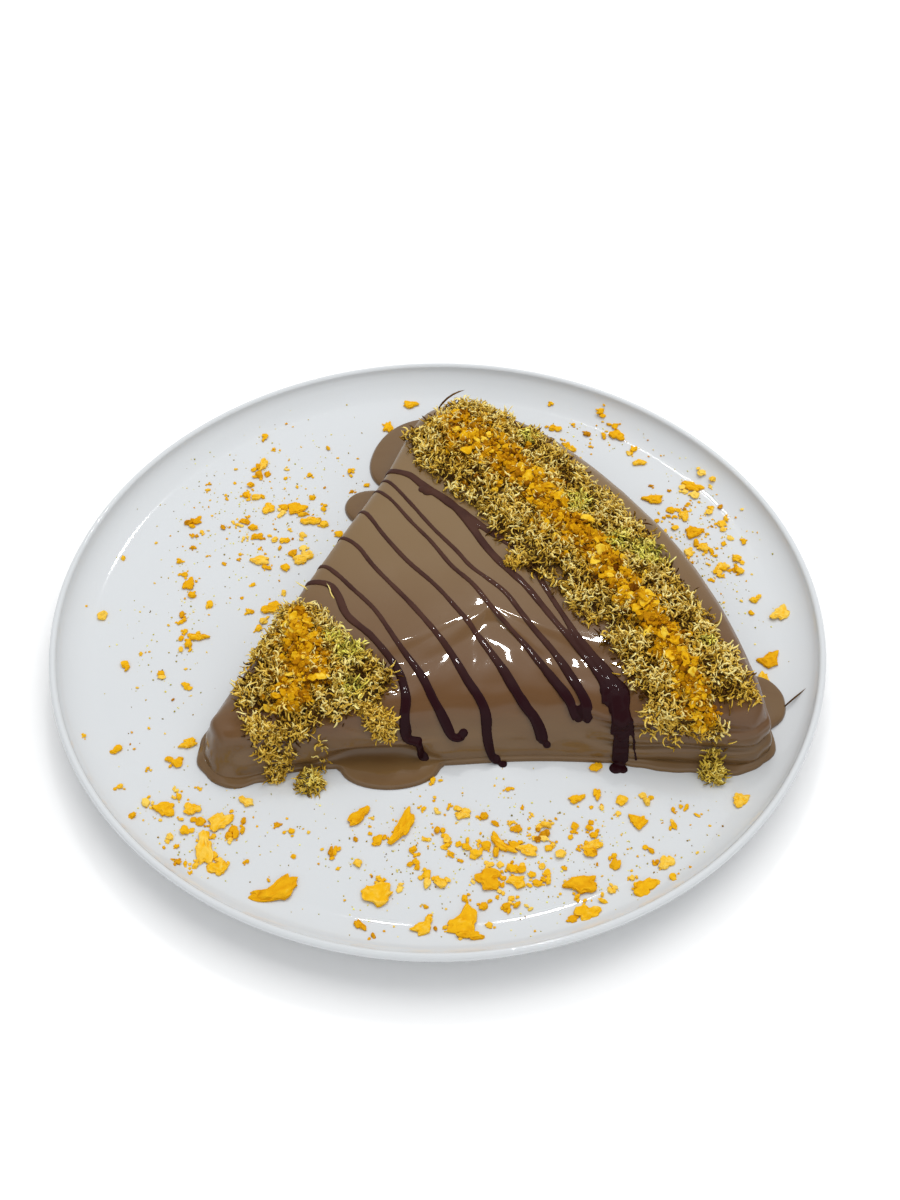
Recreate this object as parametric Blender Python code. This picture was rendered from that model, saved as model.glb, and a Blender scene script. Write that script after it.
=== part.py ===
# A folded crepe coated in milk chocolate, on its round white plate, in metres with +Z up.
# The origin is the plate's centre on the table, and +X and +Y point to the right and away.
# The crepe is a round sheet folded to a wedge: a rounded tip, two straight edges, and a
# curved edge where the layers show. Dark chocolate lines cross it, and two heaps of fine
# shreds with golden crumbs on them cover its tip and its curved edge.

import math
import random

import bmesh
import bpy
import numpy as np
from mathutils import Vector, noise
from mathutils.bvhtree import BVHTree

MM = 0.001
GAP = 0.3 * MM

# Plate
PLATE_RADIUS = 140 * MM
RIM_HEIGHT = 17.5 * MM
FLOOR_HEIGHT = 9 * MM
FLOOR_RADIUS = 122 * MM
PLATE_THICKNESS = 4.2 * MM
LIP_RADIUS = 1.3 * MM
FOOT_RADIUS = 82 * MM
FOOT_WIDTH = 6 * MM
STEEPEST_WALL = math.radians(78)
PLATE_SEGMENTS = 56

# Crepe
TIP = Vector((-84 * MM, -62 * MM))
WEDGE_RADIUS = 199 * MM
ARC_FLATTENING = 4 * MM
CREPE_HEIGHT = 19.5 * MM
RIGHT_RISE = 5 * MM
TIP_DROP = 3.5 * MM
CROWN = 1.6 * MM
UNDULATION = 0.5 * MM
CREPE_CENTRE = Vector((18 * MM, -8 * MM))
CREPE_SEGMENTS = 76
PUDDLE_HEIGHT = 2.2 * MM
FRONT_RUN = 21 * MM
TIP_FRONT_RUN = 10 * MM
LAYERED_FRONT_RUN = 12.5 * MM
BACK_RUN = 5.5 * MM
ARC_RUN = 8.5 * MM

# Drizzle
DRIZZLE_RADIUS = 1.5 * MM
DRIZZLE_STEP = 10.5 * MM

# Heaps on the crepe
SHRED_DEPTH = 6 * MM
SHRED_LENGTH = 7 * MM
SHRED_RADIUS = 0.5 * MM
HEAP_SINK = 1.5 * MM
CRUMB_DEPTH = 3.2 * MM
CRUMB_WIDTH = 0.36
CHIP_SIZE = 4.4 * MM
CHIP_THICKNESS = 1.8 * MM

# Flakes that lie on the plate
FLAKE_COUNT = 32
FLAKE_SIZE = 4.2 * MM


def clear_scene():
    for old in list(bpy.data.objects):
        bpy.data.objects.remove(old, do_unlink=True)


def make_material(name, colour, roughness, coat=0.0):
    material = bpy.data.materials.new(name)
    material.use_nodes = True
    shader = material.node_tree.nodes["Principled BSDF"]
    shader.inputs["Base Color"].default_value = (*colour, 1.0)
    shader.inputs["Roughness"].default_value = roughness
    shader.inputs["Metallic"].default_value = 0.0
    shader.inputs["Coat Weight"].default_value = coat
    return material


def finish_mesh(mesh, material=None):
    # Bent quads are split into triangles the same way on a piece and on what is cut to fit it
    shape = bmesh.new()
    shape.from_mesh(mesh)
    bmesh.ops.remove_doubles(shape, verts=shape.verts, dist=1e-6)
    bmesh.ops.triangulate(shape, faces=shape.faces, quad_method="FIXED")
    bmesh.ops.recalc_face_normals(shape, faces=shape.faces)
    shape.to_mesh(mesh)
    shape.free()
    mesh.shade_smooth()
    mesh.set_sharp_from_angle(angle=math.radians(40))
    if material:
        mesh.materials.clear()
        mesh.materials.append(material)


def add_object(name, vertices, faces, material=None):
    mesh = bpy.data.meshes.new(name)
    mesh.from_pydata([tuple(v) for v in vertices], [], faces)
    finish_mesh(mesh, material)
    item = bpy.data.objects.new(name, mesh)
    bpy.context.scene.collection.objects.link(item)
    return item


def ring_faces(first, second, count):
    # Quads between two rings of vertices that start at the two given indices
    return [(first + i, first + (i + 1) % count, second + (i + 1) % count, second + i)
            for i in range(count)]


def halving_faces(first, second, count):
    # Triangles from a ring to the next one inside it, which has half as many vertices
    faces = []
    for i in range(count // 2):
        start, middle, end = (first + (2 * i + k) % count for k in (0, 1, 2))
        inner, inner_end = second + i, second + (i + 1) % (count // 2)
        faces += [(start, middle, inner), (middle, end, inner_end), (middle, inner_end, inner)]
    return faces


def boolean(target, pieces, operation):
    # One Boolean on a collection, applied, with the collection's objects then removed
    group = bpy.data.collections.new("operands")
    bpy.context.scene.collection.children.link(group)
    for piece in pieces:
        group.objects.link(piece)
    modifier = target.modifiers.new(operation.title(), "BOOLEAN")
    modifier.operation = operation
    modifier.solver = "EXACT"
    modifier.operand_type = "COLLECTION"
    modifier.collection = group
    graph = bpy.context.evaluated_depsgraph_get()
    result = bpy.data.meshes.new_from_object(target.evaluated_get(graph))
    target.modifiers.clear()
    material = target.data.materials[0] if target.data.materials else None
    target.data = result
    for piece in pieces:
        bpy.data.objects.remove(piece, do_unlink=True)
    bpy.data.collections.remove(group)
    keep_largest_body(target.data)
    finish_mesh(target.data, material)


def keep_largest_body(mesh):
    # Drops the loose scraps that a cut can leave
    shape = bmesh.new()
    shape.from_mesh(mesh)
    unseen = set(shape.verts)
    bodies = []
    while unseen:
        start = unseen.pop()
        body = {start}
        edge_of_search = [start]
        while edge_of_search:
            for edge in edge_of_search.pop().link_edges:
                for vertex in edge.verts:
                    if vertex in unseen:
                        unseen.discard(vertex)
                        body.add(vertex)
                        edge_of_search.append(vertex)
        bodies.append(body)
    bodies.sort(key=len, reverse=True)
    scraps = [vertex for body in bodies[1:] for vertex in body]
    bmesh.ops.delete(shape, geom=scraps, context="VERTS")
    shape.to_mesh(mesh)
    shape.free()


def smooth_step(value, low, high):
    t = min(max((value - low) / (high - low), 0.0), 1.0)
    return t * t * (3 - 2 * t)


def mix(first, second, share):
    return first + (second - first) * share


def spline_point(p0, p1, p2, p3, t):
    return 0.5 * (2 * p1 + (p2 - p0) * t + (2 * p0 - 5 * p1 + 4 * p2 - p3) * t ** 2
                  + (3 * p1 - p0 - 3 * p2 + p3) * t ** 3)


def resample(points, count, closed):
    # Evenly spaced points on a smooth curve through the given ones
    points = [Vector(p) for p in points]
    spans = len(points) if closed else len(points) - 1
    fine = []
    for i in range(spans):
        if closed:
            around = [points[(i + k) % len(points)] for k in (-1, 0, 1, 2)]
        else:
            around = [points[min(max(i + k, 0), spans)] for k in (-1, 0, 1, 2)]
        fine += [spline_point(*around, step / 12) for step in range(12)]
    fine.append(fine[0] if closed else points[-1])
    lengths = [0.0]
    for a, b in zip(fine, fine[1:]):
        lengths.append(lengths[-1] + (b - a).length)
    total = lengths[-1]
    even = []
    k = 0
    for i in range(count):
        want = total * i / (count if closed else count - 1)
        while k < len(fine) - 2 and lengths[k + 1] < want:
            k += 1
        even.append(fine[k].lerp(fine[k + 1], (want - lengths[k]) / (lengths[k + 1] - lengths[k])))
    return even


def wall_height(radius):
    # Height of the plate's upper side: flat, then curving up to the lip
    reach = PLATE_RADIUS - 2 * LIP_RADIUS - FLOOR_RADIUS
    rise = RIM_HEIGHT - LIP_RADIUS - FLOOR_HEIGHT
    share = min(max((radius - FLOOR_RADIUS) / reach, 0.0), 1.0)
    a = math.asin(share * math.sin(STEEPEST_WALL))
    return FLOOR_HEIGHT + rise * (1 - math.cos(a)) / (1 - math.cos(STEEPEST_WALL))


def plate_profile():
    # From the underside's centre out to the lip and back over the floor to the centre
    under = FLOOR_HEIGHT - PLATE_THICKNESS
    foot_in = FOOT_RADIUS - FOOT_WIDTH
    profile = [(0, under), (foot_in - 3 * MM, under), (foot_in, 0), (FOOT_RADIUS, 0),
               (FOOT_RADIUS + 3 * MM, under)]
    reach = PLATE_RADIUS - 2 * LIP_RADIUS - FLOOR_RADIUS
    wall = []
    for share in (0, 0.25, 0.5, 0.75, 0.92, 1):
        radius = FLOOR_RADIUS + share * reach
        wall.append((radius, wall_height(radius)))
    for r, z in wall[1:5:2]:
        profile.append((r + 2.2 * MM, z - PLATE_THICKNESS + 1 * MM))
    for degrees in (-35, 20, 65, 110):
        a = math.radians(degrees)
        profile.append((PLATE_RADIUS - LIP_RADIUS + LIP_RADIUS * math.cos(a),
                        RIM_HEIGHT - LIP_RADIUS + LIP_RADIUS * math.sin(a)))
    profile += reversed(wall)
    profile += [(share * FLOOR_RADIUS, FLOOR_HEIGHT) for share in (0.6, 0)]
    return profile


def make_plate(material):
    profile = plate_profile()
    shape = bmesh.new()
    line = [shape.verts.new((r, 0, z)) for r, z in profile]
    edges = [shape.edges.new(pair) for pair in zip(line, line[1:])]
    bmesh.ops.spin(shape, geom=line + edges, cent=(0, 0, 0), axis=(0, 0, 1),
                   angle=2 * math.pi, steps=PLATE_SEGMENTS)
    mesh = bpy.data.meshes.new("plate")
    shape.to_mesh(mesh)
    shape.free()
    finish_mesh(mesh, material)
    plate = bpy.data.objects.new("plate", mesh)
    bpy.context.scene.collection.objects.link(plate)
    return plate


def arc_point(degrees):
    # The curved edge, a little flatter in its middle than a circle round the tip
    a = math.radians(degrees)
    radius = WEDGE_RADIUS - ARC_FLATTENING * math.sin(math.pi * degrees / 60)
    return TIP + radius * Vector((math.cos(a), math.sin(a)))


def crepe_outline():
    # The wedge where it meets the plate, from the tip round to the right
    front = [(-80.5, -54), (-77.5, -63.5), (-69, -68.5), (-44, -63), (0, -61), (34, -59),
             (72, -60.5), (102, -62.5), (111, -59.5)]
    back = [(16, 105.5), (3, 105.5), (-8, 99), (-15, 86), (-24, 62), (-45, 18.5), (-66, -25),
            (-77.5, -45)]
    points = [Vector(p) * MM for p in front]
    points += [arc_point(degrees) for degrees in (3, 12, 22, 32, 42, 50)]
    points += [Vector(p) * MM for p in back]
    return resample(points, CREPE_SEGMENTS, closed=True)


# Pools of coating on the plate: where each lies, how far it spreads and half its width
POOLS = [((-16, -61.5), 10, 17.5), ((-12, 92), 13.5, 22), ((-25, 60), 12, 10), ((-70, -68), 2.5, 18),
         ((113.5, -35), 11, 12), ((114, -54), 2.5, 9), ((88, -62), 3, 26), ((-50, 12), 1.5, 14)]


def pool_spread(point):
    spread = 0.7 * MM
    for centre, reach, half_width in POOLS:
        away = (point - Vector(centre) * MM).length / (half_width * MM)
        spread = max(spread, reach * MM * math.sqrt(max(0.0, 1 - away ** 2)))
    return spread


def edge_distance(point, starts, ends):
    along = ends - starts
    share = ((point - starts) * along).sum(axis=1) / (along * along).sum(axis=1)
    nearest = starts + np.clip(share, 0, 1)[:, None] * along
    return np.sqrt(((point - nearest) ** 2).sum(axis=1)).min()


def inset_point(corner, depth, starts, ends):
    # The point between an outline point and the crepe's centre that lies this deep inside
    start = np.array(corner)
    centre = np.array(CREPE_CENTRE)
    if depth <= 0:
        away = (start - centre) / np.linalg.norm(start - centre)
        return Vector(start - away * depth)
    low, high = 0.0, 0.9
    for _ in range(14):
        middle = (low + high) / 2
        if edge_distance(start + (centre - start) * middle, starts, ends) < depth:
            low = middle
        else:
            high = middle
    return Vector(start + (centre - start) * high)


def top_height(point):
    rise = RIGHT_RISE * smooth_step(point.x, 45 * MM, 100 * MM)
    drop = TIP_DROP * (1 - smooth_step((point - TIP).length, 20 * MM, 70 * MM))
    bumps = UNDULATION * noise.noise(Vector((point.x, point.y, 0)) * 45)
    return CREPE_HEIGHT + rise - drop + bumps


# The side's profile from the plate up: how far in and how high, as shares of the side's
# run and of the height. One is for the smooth sides, one for the side with three layers.
SMOOTH_SIDE = [(0, 0.10), (0.03, 0.22), (0.08, 0.33), (0.13, 0.42), (0.18, 0.50), (0.24, 0.59),
               (0.31, 0.68), (0.40, 0.78), (0.53, 0.88), (0.72, 0.96), (1.0, 1.0)]
LAYERED_SIDE = [(-0.04, 0.10), (-0.05, 0.22), (0.03, 0.31), (0.17, 0.35), (0.10, 0.44),
                (0.11, 0.56), (0.20, 0.64), (0.33, 0.68), (0.28, 0.80), (0.45, 0.95), (1.0, 1.0)]


def side_run(corner, outward, layers):
    # The front rolls off most in its middle, the folded edge at the back left least
    front = max(0.0, -outward.y) ** 2
    back = max(0.0, -outward.x) ** 2
    arc = max(0.0, 1 - front - back)
    smooth_run = mix(TIP_FRONT_RUN, FRONT_RUN, smooth_step(corner.x, -45 * MM, 5 * MM))
    front_run = mix(smooth_run, LAYERED_FRONT_RUN, layers)
    return (front * front_run + back * BACK_RUN + arc * ARC_RUN) / (front + back + arc)


def layer_share(point):
    return max(smooth_step(point.x, 50 * MM, 66 * MM),
               smooth_step((point - TIP).length, 168 * MM, 188 * MM))


def crepe_loft(grow, name, material=None):
    outline = crepe_outline()
    count = len(outline)
    starts = np.array([tuple(p) for p in outline])
    ends = np.roll(starts, -1, axis=0)
    rings = [[] for _ in range(4 + len(SMOOTH_SIDE) + 3)]
    floor = FLOOR_HEIGHT + GAP
    for i, corner in enumerate(outline):
        along = outline[(i + 1) % count] - outline[i - 1]
        outward = Vector((along.y, -along.x)).normalized()
        spread = pool_spread(corner) + grow
        puddle = PUDDLE_HEIGHT + 2 * grow
        inner = corner.lerp(CREPE_CENTRE, 0.16)
        rings[0].append((inner.x, inner.y, floor - grow))
        for k, (share, level) in enumerate(((0.97, 0), (1, 0.45), (0.55, 0.85))):
            edge = corner + outward * (spread * share)
            under = wall_height(edge.length) - FLOOR_HEIGHT
            rings[1 + k].append((edge.x, edge.y, floor + under + level * puddle - grow))
        layers = layer_share(corner)
        run = side_run(corner, outward, layers)
        for k, (smooth, layered) in enumerate(zip(SMOOTH_SIDE, LAYERED_SIDE)):
            depth = run * mix(smooth[0], layered[0], layers) - grow
            level = mix(smooth[1], layered[1], layers)
            point = inset_point(corner, depth, starts, ends)
            height = level * top_height(point)
            lift = (1 - level) * (wall_height(corner.length) - FLOOR_HEIGHT)
            height = max(height, puddle) + lift + grow
            rings[4 + k].append((point.x, point.y, floor + height))
        for k, share in enumerate((0.22, 0.50, 0.78)):
            if i % 2 ** k:
                continue
            inner = point.lerp(CREPE_CENTRE, share)
            crown = CROWN * math.sin(share * math.pi / 2)
            rings[k - 3].append((inner.x, inner.y, floor + top_height(inner) + crown + grow))
    vertices = []
    faces = [tuple(reversed(range(count)))]
    for lower, upper in zip(rings, rings[1:]):
        first = len(vertices)
        vertices += lower
        join = ring_faces if len(lower) == len(upper) else halving_faces
        faces += join(first, len(vertices), len(lower))
    first = len(vertices)
    centre_height = floor + top_height(CREPE_CENTRE) + CROWN + grow
    vertices += rings[-1] + [(*CREPE_CENTRE, centre_height)]
    last = len(rings[-1])
    faces += [(first + i, first + (i + 1) % last, first + last) for i in range(last)]
    return add_object(name, vertices, faces, material)


class Surface:
    # Heights and normals on a mesh seen from straight above

    def __init__(self, item):
        mesh = item.data
        self.tree = BVHTree.FromPolygons([v.co for v in mesh.vertices],
                                         [tuple(p.vertices) for p in mesh.polygons])

    def hit(self, x, y):
        # A ray that meets an edge exactly can slip through, so others beside it are tried
        for aside in (0, 1, -1, 2):
            start = Vector((x + aside * 0.01 * MM, y + aside * 0.013 * MM, 0.2))
            place, normal, _, _ = self.tree.ray_cast(start, Vector((0, 0, -1)))
            if place:
                break
        return place, normal

    def height(self, x, y):
        place, _ = self.hit(x, y)
        return place.z if place else FLOOR_HEIGHT


# The dark lines, each from the back-left edge to the front, in plan and in millimetres,
# with its thickness and the size of the drop at its end as shares of the usual radius
DRIZZLES = [
    ([(-48.5, 6), (-39, -1), (-23, -21), (-12, -42), (-11, -54), (-9, -57.5)], 1.1, 1.5),
    ([(-44.5, 14), (-33, 4), (-14, -22), (-3, -43), (4, -55)], 0.9, 1.0),
    ([(-37.5, 29), (-25, 15), (-3, -16), (9, -36), (17, -53), (19, -59)], 1.0, 1.5),
    ([(-31, 43), (-17, 24), (4, -4), (25, -40), (35, -56)], 0.9, 1.6),
    ([(-26, 53), (-12, 37), (11, 4), (33, -30), (46, -50)], 0.9, 1.0),
    ([(-23, 58), (-8, 38), (22, 2), (40, -28), (50, -50)], 0.9, 1.1),
    ([(-21, 63), (-8, 54), (23, 24), (40, 0), (52, -28), (61, -46), (62, -58.5)], 1.5, 2.2),
    ([(0, 46), (15, 23), (36, -5), (50, -34), (57, -50)], 1.0, 1.0),
]


def tube_object(name, points, radii):
    # A four-sided tube with a radius at each point
    curve = bpy.data.curves.new(name, "CURVE")
    curve.dimensions = "3D"
    curve.bevel_depth = 1.0
    curve.bevel_resolution = 0
    curve.use_fill_caps = True
    spline = curve.splines.new("POLY")
    spline.points.add(len(points) - 1)
    for control, place, radius in zip(spline.points, points, radii):
        control.co = (*place, 1.0)
        control.radius = radius
    holder = bpy.data.objects.new(name, curve)
    bpy.context.scene.collection.objects.link(holder)
    graph = bpy.context.evaluated_depsgraph_get()
    mesh = bpy.data.meshes.new_from_object(holder.evaluated_get(graph))
    bpy.data.objects.remove(holder, do_unlink=True)
    bpy.data.curves.remove(curve)
    finish_mesh(mesh)
    item = bpy.data.objects.new(name, mesh)
    bpy.context.scene.collection.objects.link(item)
    return item


def drizzle_tubes(surface, grow):
    tubes = []
    for number, (route, thickness, drop) in enumerate(DRIZZLES):
        route = [Vector(p) * MM for p in route]
        length = sum((b - a).length for a, b in zip(route, route[1:]))
        count = max(6, round(length / DRIZZLE_STEP))
        plan = resample(route, count, closed=False)
        radii = [DRIZZLE_RADIUS * thickness] * count
        radii[0] *= 0.7
        radii[-1] = DRIZZLE_RADIUS * drop
        points = [(p.x, p.y, surface.height(p.x, p.y) + 0.3 * radius)
                  for p, radius in zip(plan, radii)]
        radii = [radius + grow for radius in radii]
        tubes.append(tube_object("drizzle_%d" % number, points, radii))
    return tubes


def shred_object(start, direction, length, draw):
    # One curled shred, four-sided and tapering
    side = direction.cross(Vector((0, 0, 1)))
    side = side.normalized() if side.length > 0.1 else Vector((1, 0, 0))
    curl = draw.uniform(-0.4, 0.4)
    points = []
    for t in (0, 0.5, 1):
        bend = side * curl - Vector((0, 0, 0.3))
        points.append(start + (direction * t + bend * t * t) * length)
    radii = [SHRED_RADIUS * share for share in (1, 1, 0.6)]
    return tube_object("shred", points, radii)


# The two heaps in plan and in millimetres: the rim that faces the crepe's middle and the
# rim along its outside, both from the far end to the near one
HEAPS = {
    "left": {
        "inner": [(-48, -5), (-36, -16), (-22, -29), (-13, -43), (-24, -52), (-40, -56),
                  (-50, -63.5)],
        "outer": [(-53.5, -7), (-61, -18), (-67.5, -32), (-70, -45), (-65, -54), (-63, -60.5),
                  (-57, -64.5)],
        "sections": 13, "shreds": 12, "chips": 8, "crumb_ends": (0.14, 0.84),
    },
    "right": {
        "inner": [(-14, 85), (-12, 71), (-2, 50), (15, 34), (25, 14), (39, 0), (49, -14),
                  (59, -28), (63, -41), (67, -53)],
        "outer": [(3, 102), (18, 104.5), (34, 94), (48, 79), (61, 60), (71, 45), (80, 29),
                  (88, 8), (95, -12), (102, -28), (108, -44), (104, -54)],
        "sections": 32, "shreds": 30, "chips": 18, "crumb_ends": (0.05, 0.95),
    },
}
ABOVE = (-1, -0.82, -0.45, 0, 0.45, 0.82, 1)
BELOW = (0.6, 0, -0.6)


def heap_point(heap, around, across):
    # Around runs from the far end to the near one, across from the inner rim to the outer
    points = []
    for side in ("inner", "outer"):
        rim = heap[side + "_rim"]
        place = around * (len(rim) - 1)
        k = min(int(place), len(rim) - 2)
        points.append(rim[k].lerp(rim[k + 1], place - k))
    return points[0].lerp(points[1], (across + 1) / 2)


def heap_body(name, heap, ground, depth, width, ends, grow, material=None):
    # A long dome with uneven bumps, as cross-sections joined end to end
    vertices = []
    for i in range(heap["sections"]):
        along = i / (heap["sections"] - 1)
        around = mix(ends[0], ends[1], along)
        taper = 1 - 0.5 * max(0.0, 2 * abs(along - 0.5) - 0.8) / 0.2
        for k, across in enumerate(ABOVE + BELOW):
            p = heap_point(heap, around, across * width)
            height = ground.height(p.x, p.y)
            if 0 < k < len(ABOVE) - 1:
                dome = math.sqrt(1 - across ** 2)
                bumps = 1 + 0.5 * noise.noise(Vector((p.x, p.y, 0.3)) * 160)
                height += depth * dome * bumps * taper
            else:
                height -= HEAP_SINK
            vertices.append((p.x, p.y, height + grow))
    count = len(ABOVE + BELOW)
    faces = []
    for i in range(heap["sections"] - 1):
        faces += ring_faces(i * count, (i + 1) * count, count)
    faces.append(tuple(reversed(range(count))))
    faces.append(tuple(range(len(vertices) - count, len(vertices))))
    return add_object(name, vertices, faces, material)


def heap_shreds(heap, ground, draw):
    # Shreds that stand out of the heap near its two rims
    shreds = []
    for i in range(heap["shreds"]):
        around = (i + draw.uniform(0.2, 0.8)) / heap["shreds"]
        across = draw.uniform(0.6, 0.85) * (1 if i % 2 else -1)
        p = heap_point(heap, around, across)
        place, normal = ground.hit(p.x, p.y)
        outward = (heap_point(heap, around, across * 1.2) - p).normalized() * 0.5
        lean = Vector((outward.x + draw.uniform(-0.4, 0.4), outward.y + draw.uniform(-0.4, 0.4), 0))
        direction = (normal + lean).normalized()
        shreds.append(shred_object(place - direction * MM, direction,
                                   SHRED_LENGTH * draw.uniform(0.7, 1.1), draw))
    return shreds


def heap_chips(heap, ground, draw):
    # Flat chips half sunk in the crumbs along the middle of the heap
    chips = []
    for i in range(heap["chips"]):
        around = mix(*heap["crumb_ends"], (i + 0.5) / heap["chips"])
        p = heap_point(heap, around, draw.uniform(-0.7, 0.7) * CRUMB_WIDTH)
        centre = Vector((p.x, p.y, ground.height(p.x, p.y) + 0.3 * MM))
        chips.append(chip_object("chip", centre, CHIP_SIZE * draw.uniform(0.75, 1.25),
                                 CHIP_THICKNESS, draw.uniform(0, math.pi), draw))
    return chips


def make_heap(side, bare_crepe, shred_material, crumb_material):
    heap = HEAPS[side]
    for rim in ("inner", "outer"):
        heap[rim + "_rim"] = resample([Vector(p) * MM for p in heap[rim]], 40, closed=False)
    draw = random.Random(5)
    whole = (0, 1)
    shreds = heap_body("shreds_" + side, heap, bare_crepe, SHRED_DEPTH, 1, whole, 0, shred_material)
    shred_top = Surface(shreds)
    crumbs = heap_body("crumbs_" + side, heap, shred_top, CRUMB_DEPTH, CRUMB_WIDTH,
                       heap["crumb_ends"], 0, crumb_material)
    boolean(shreds, heap_shreds(heap, shred_top, draw), "UNION")
    boolean(crumbs, heap_chips(heap, Surface(crumbs), draw), "UNION")
    grown_crepe = [crepe_loft(GAP, "grown_crepe")] + drizzle_tubes(bare_crepe, GAP)
    boolean(shreds, grown_crepe, "DIFFERENCE")
    grown_shreds = heap_body("grown", heap, bare_crepe, SHRED_DEPTH, 1, whole, GAP)
    boolean(crumbs, [grown_shreds], "DIFFERENCE")


def chip_object(name, centre, size, thickness, turn, draw):
    # A flat, uneven flake with six sides and a low crest
    sides = 6
    low, high = [], []
    stretch = draw.uniform(0.6, 0.95)
    tilt = draw.uniform(-0.25, 0.25)
    for k in range(sides):
        angle = 2 * math.pi * k / sides + draw.uniform(-0.25, 0.25)
        reach = size / 2 * draw.uniform(0.75, 1.15)
        u = reach * math.cos(angle)
        v = reach * stretch * math.sin(angle)
        x = u * math.cos(turn) - v * math.sin(turn)
        y = u * math.sin(turn) + v * math.cos(turn)
        low.append(centre + Vector((x, y, -0.5 * thickness)))
        high.append(centre + Vector((0.8 * x, 0.8 * y, 0.5 * thickness + tilt * u)))
    crest = centre + Vector((0, 0, 0.85 * thickness))
    vertices = low + high + [crest]
    faces = ring_faces(0, sides, sides) + [tuple(reversed(range(sides)))]
    faces += [(sides + i, sides + (i + 1) % sides, 2 * sides) for i in range(sides)]
    return add_object(name, vertices, faces)


# The largest flakes on the plate: place in plan, size, turn in degrees
LARGE_FLAKES = [
    ((-51, -112), 17, 25), ((-11, -87), 15, 62), ((-76, -96), 13, 95), ((-19, -113), 12, -10),
    ((47, -109), 12, 15), ((9, -123), 12, 40), ((21, -94), 11, -45), ((-26, -83), 10, 55),
    ((-72, -85), 9, 60), ((17, -107), 10, 0), ((67, -111), 9, 30), ((48, -120), 9, 10),
    ((-91, -80), 8, 0), ((26, -108), 7, 0), ((30, -96), 8, 0), ((75, -101), 7, 60), ((67, -85), 7, 0),
    ((-71, -103), 7, 30), ((52, -94), 6, 30), ((101, 73), 9, -20), ((99, 48), 8, -10), ((127, 6), 9, 60),
    ((-56, 61), 8, 50), ((-62, 9), 9, 15), ((-68, 33), 9, -5), ((-86, -53), 7, 10), ((-88, -5), 8, -5),
    ((102, -77), 7, 0), ((120, -16), 9, 30), ((81, 87), 6, 0), ((-21, 108), 7, 80), ((-94, 21), 6, 60),
]

# Regions of the plate with smaller flakes: centre, half sizes and share of the flakes
FLAKE_REGIONS = [
    ((28, -100), (70, 26), 0.42), ((98, 34), (24, 52), 0.26),
    ((-60, 66), (34, 42), 0.20), ((-88, -84), (22, 22), 0.12),
]


def point_in_outline(point, outline):
    inside = False
    for a, b in zip(outline, outline[1:] + outline[:1]):
        if (a.y > point.y) != (b.y > point.y):
            if point.x < a.x + (b.x - a.x) * (point.y - a.y) / (b.y - a.y):
                inside = not inside
    return inside


def flake_places():
    draw = random.Random(11)
    outline = crepe_outline()
    starts = np.array([tuple(p) for p in outline])
    ends = np.roll(starts, -1, axis=0)
    places = []

    def accept(point, size):
        room = size * 0.75
        if point.length > FLOOR_RADIUS or point_in_outline(point, outline):
            return False
        nearest = min(outline, key=lambda corner: (corner - point).length)
        clear = edge_distance(np.array(point), starts, ends) - pool_spread(nearest)
        if clear < room + 1 * MM:
            return False
        return all((point - other).length > 0.7 * (size + other_size) + 0.5 * MM
                   for other, other_size, _ in places)

    for centre, size, turn in LARGE_FLAKES:
        point = Vector(centre) * MM
        if accept(point, size * MM):
            places.append((point, size * MM, math.radians(turn)))
    for centre, half, share in FLAKE_REGIONS:
        wanted = round(FLAKE_COUNT * share)
        for _ in range(60 * wanted):
            offset = Vector((draw.gauss(0, 0.5) * half[0], draw.gauss(0, 0.5) * half[1]))
            point = (Vector(centre) + offset) * MM
            size = FLAKE_SIZE * draw.uniform(0.7, 1.3)
            if wanted and accept(point, size):
                places.append((point, size, draw.uniform(0, math.pi)))
                wanted -= 1
    return places


def plate_flakes():
    draw = random.Random(12)
    flakes = []
    for number, (point, size, turn) in enumerate(flake_places()):
        thickness = mix(1.4 * MM, 2.4 * MM, min(1.0, size / (12 * MM)))
        centre = Vector((point.x, point.y, FLOOR_HEIGHT + 0.25 * thickness))
        flakes.append(chip_object("flake_%d" % number, centre, size, thickness, turn, draw))
    return flakes


def main():
    clear_scene()
    porcelain = make_material("porcelain", (0.80, 0.81, 0.81), 0.15, coat=0.5)
    chocolate = make_material("milk_chocolate", (0.17, 0.10, 0.055), 0.18, coat=0.6)
    shreds = make_material("shreds", (0.42, 0.33, 0.10), 0.8)
    crumbs = make_material("golden_crumbs", (0.72, 0.36, 0.03), 0.7)

    plate = make_plate(porcelain)
    boolean(plate, plate_flakes(), "UNION")

    crepe = crepe_loft(0, "crepe", chocolate)
    bare_crepe = Surface(crepe)
    boolean(crepe, drizzle_tubes(bare_crepe, 0), "UNION")

    for side in HEAPS:
        make_heap(side, bare_crepe, shreds, crumbs)


main()
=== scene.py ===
import math

import bpy
import numpy as np
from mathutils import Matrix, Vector, noise
from mathutils.bvhtree import BVHTree


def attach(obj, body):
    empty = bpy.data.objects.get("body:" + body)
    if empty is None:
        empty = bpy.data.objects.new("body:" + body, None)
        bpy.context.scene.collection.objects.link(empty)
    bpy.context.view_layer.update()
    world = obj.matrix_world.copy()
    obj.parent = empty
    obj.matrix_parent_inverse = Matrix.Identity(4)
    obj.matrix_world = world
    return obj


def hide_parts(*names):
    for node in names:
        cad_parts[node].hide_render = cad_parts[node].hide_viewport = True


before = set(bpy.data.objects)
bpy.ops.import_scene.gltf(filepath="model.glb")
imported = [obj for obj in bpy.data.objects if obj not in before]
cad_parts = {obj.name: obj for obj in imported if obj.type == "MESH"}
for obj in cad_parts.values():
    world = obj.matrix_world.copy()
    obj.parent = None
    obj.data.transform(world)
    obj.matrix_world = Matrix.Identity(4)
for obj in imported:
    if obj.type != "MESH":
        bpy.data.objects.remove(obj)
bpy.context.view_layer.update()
mm = 0.001
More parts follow.
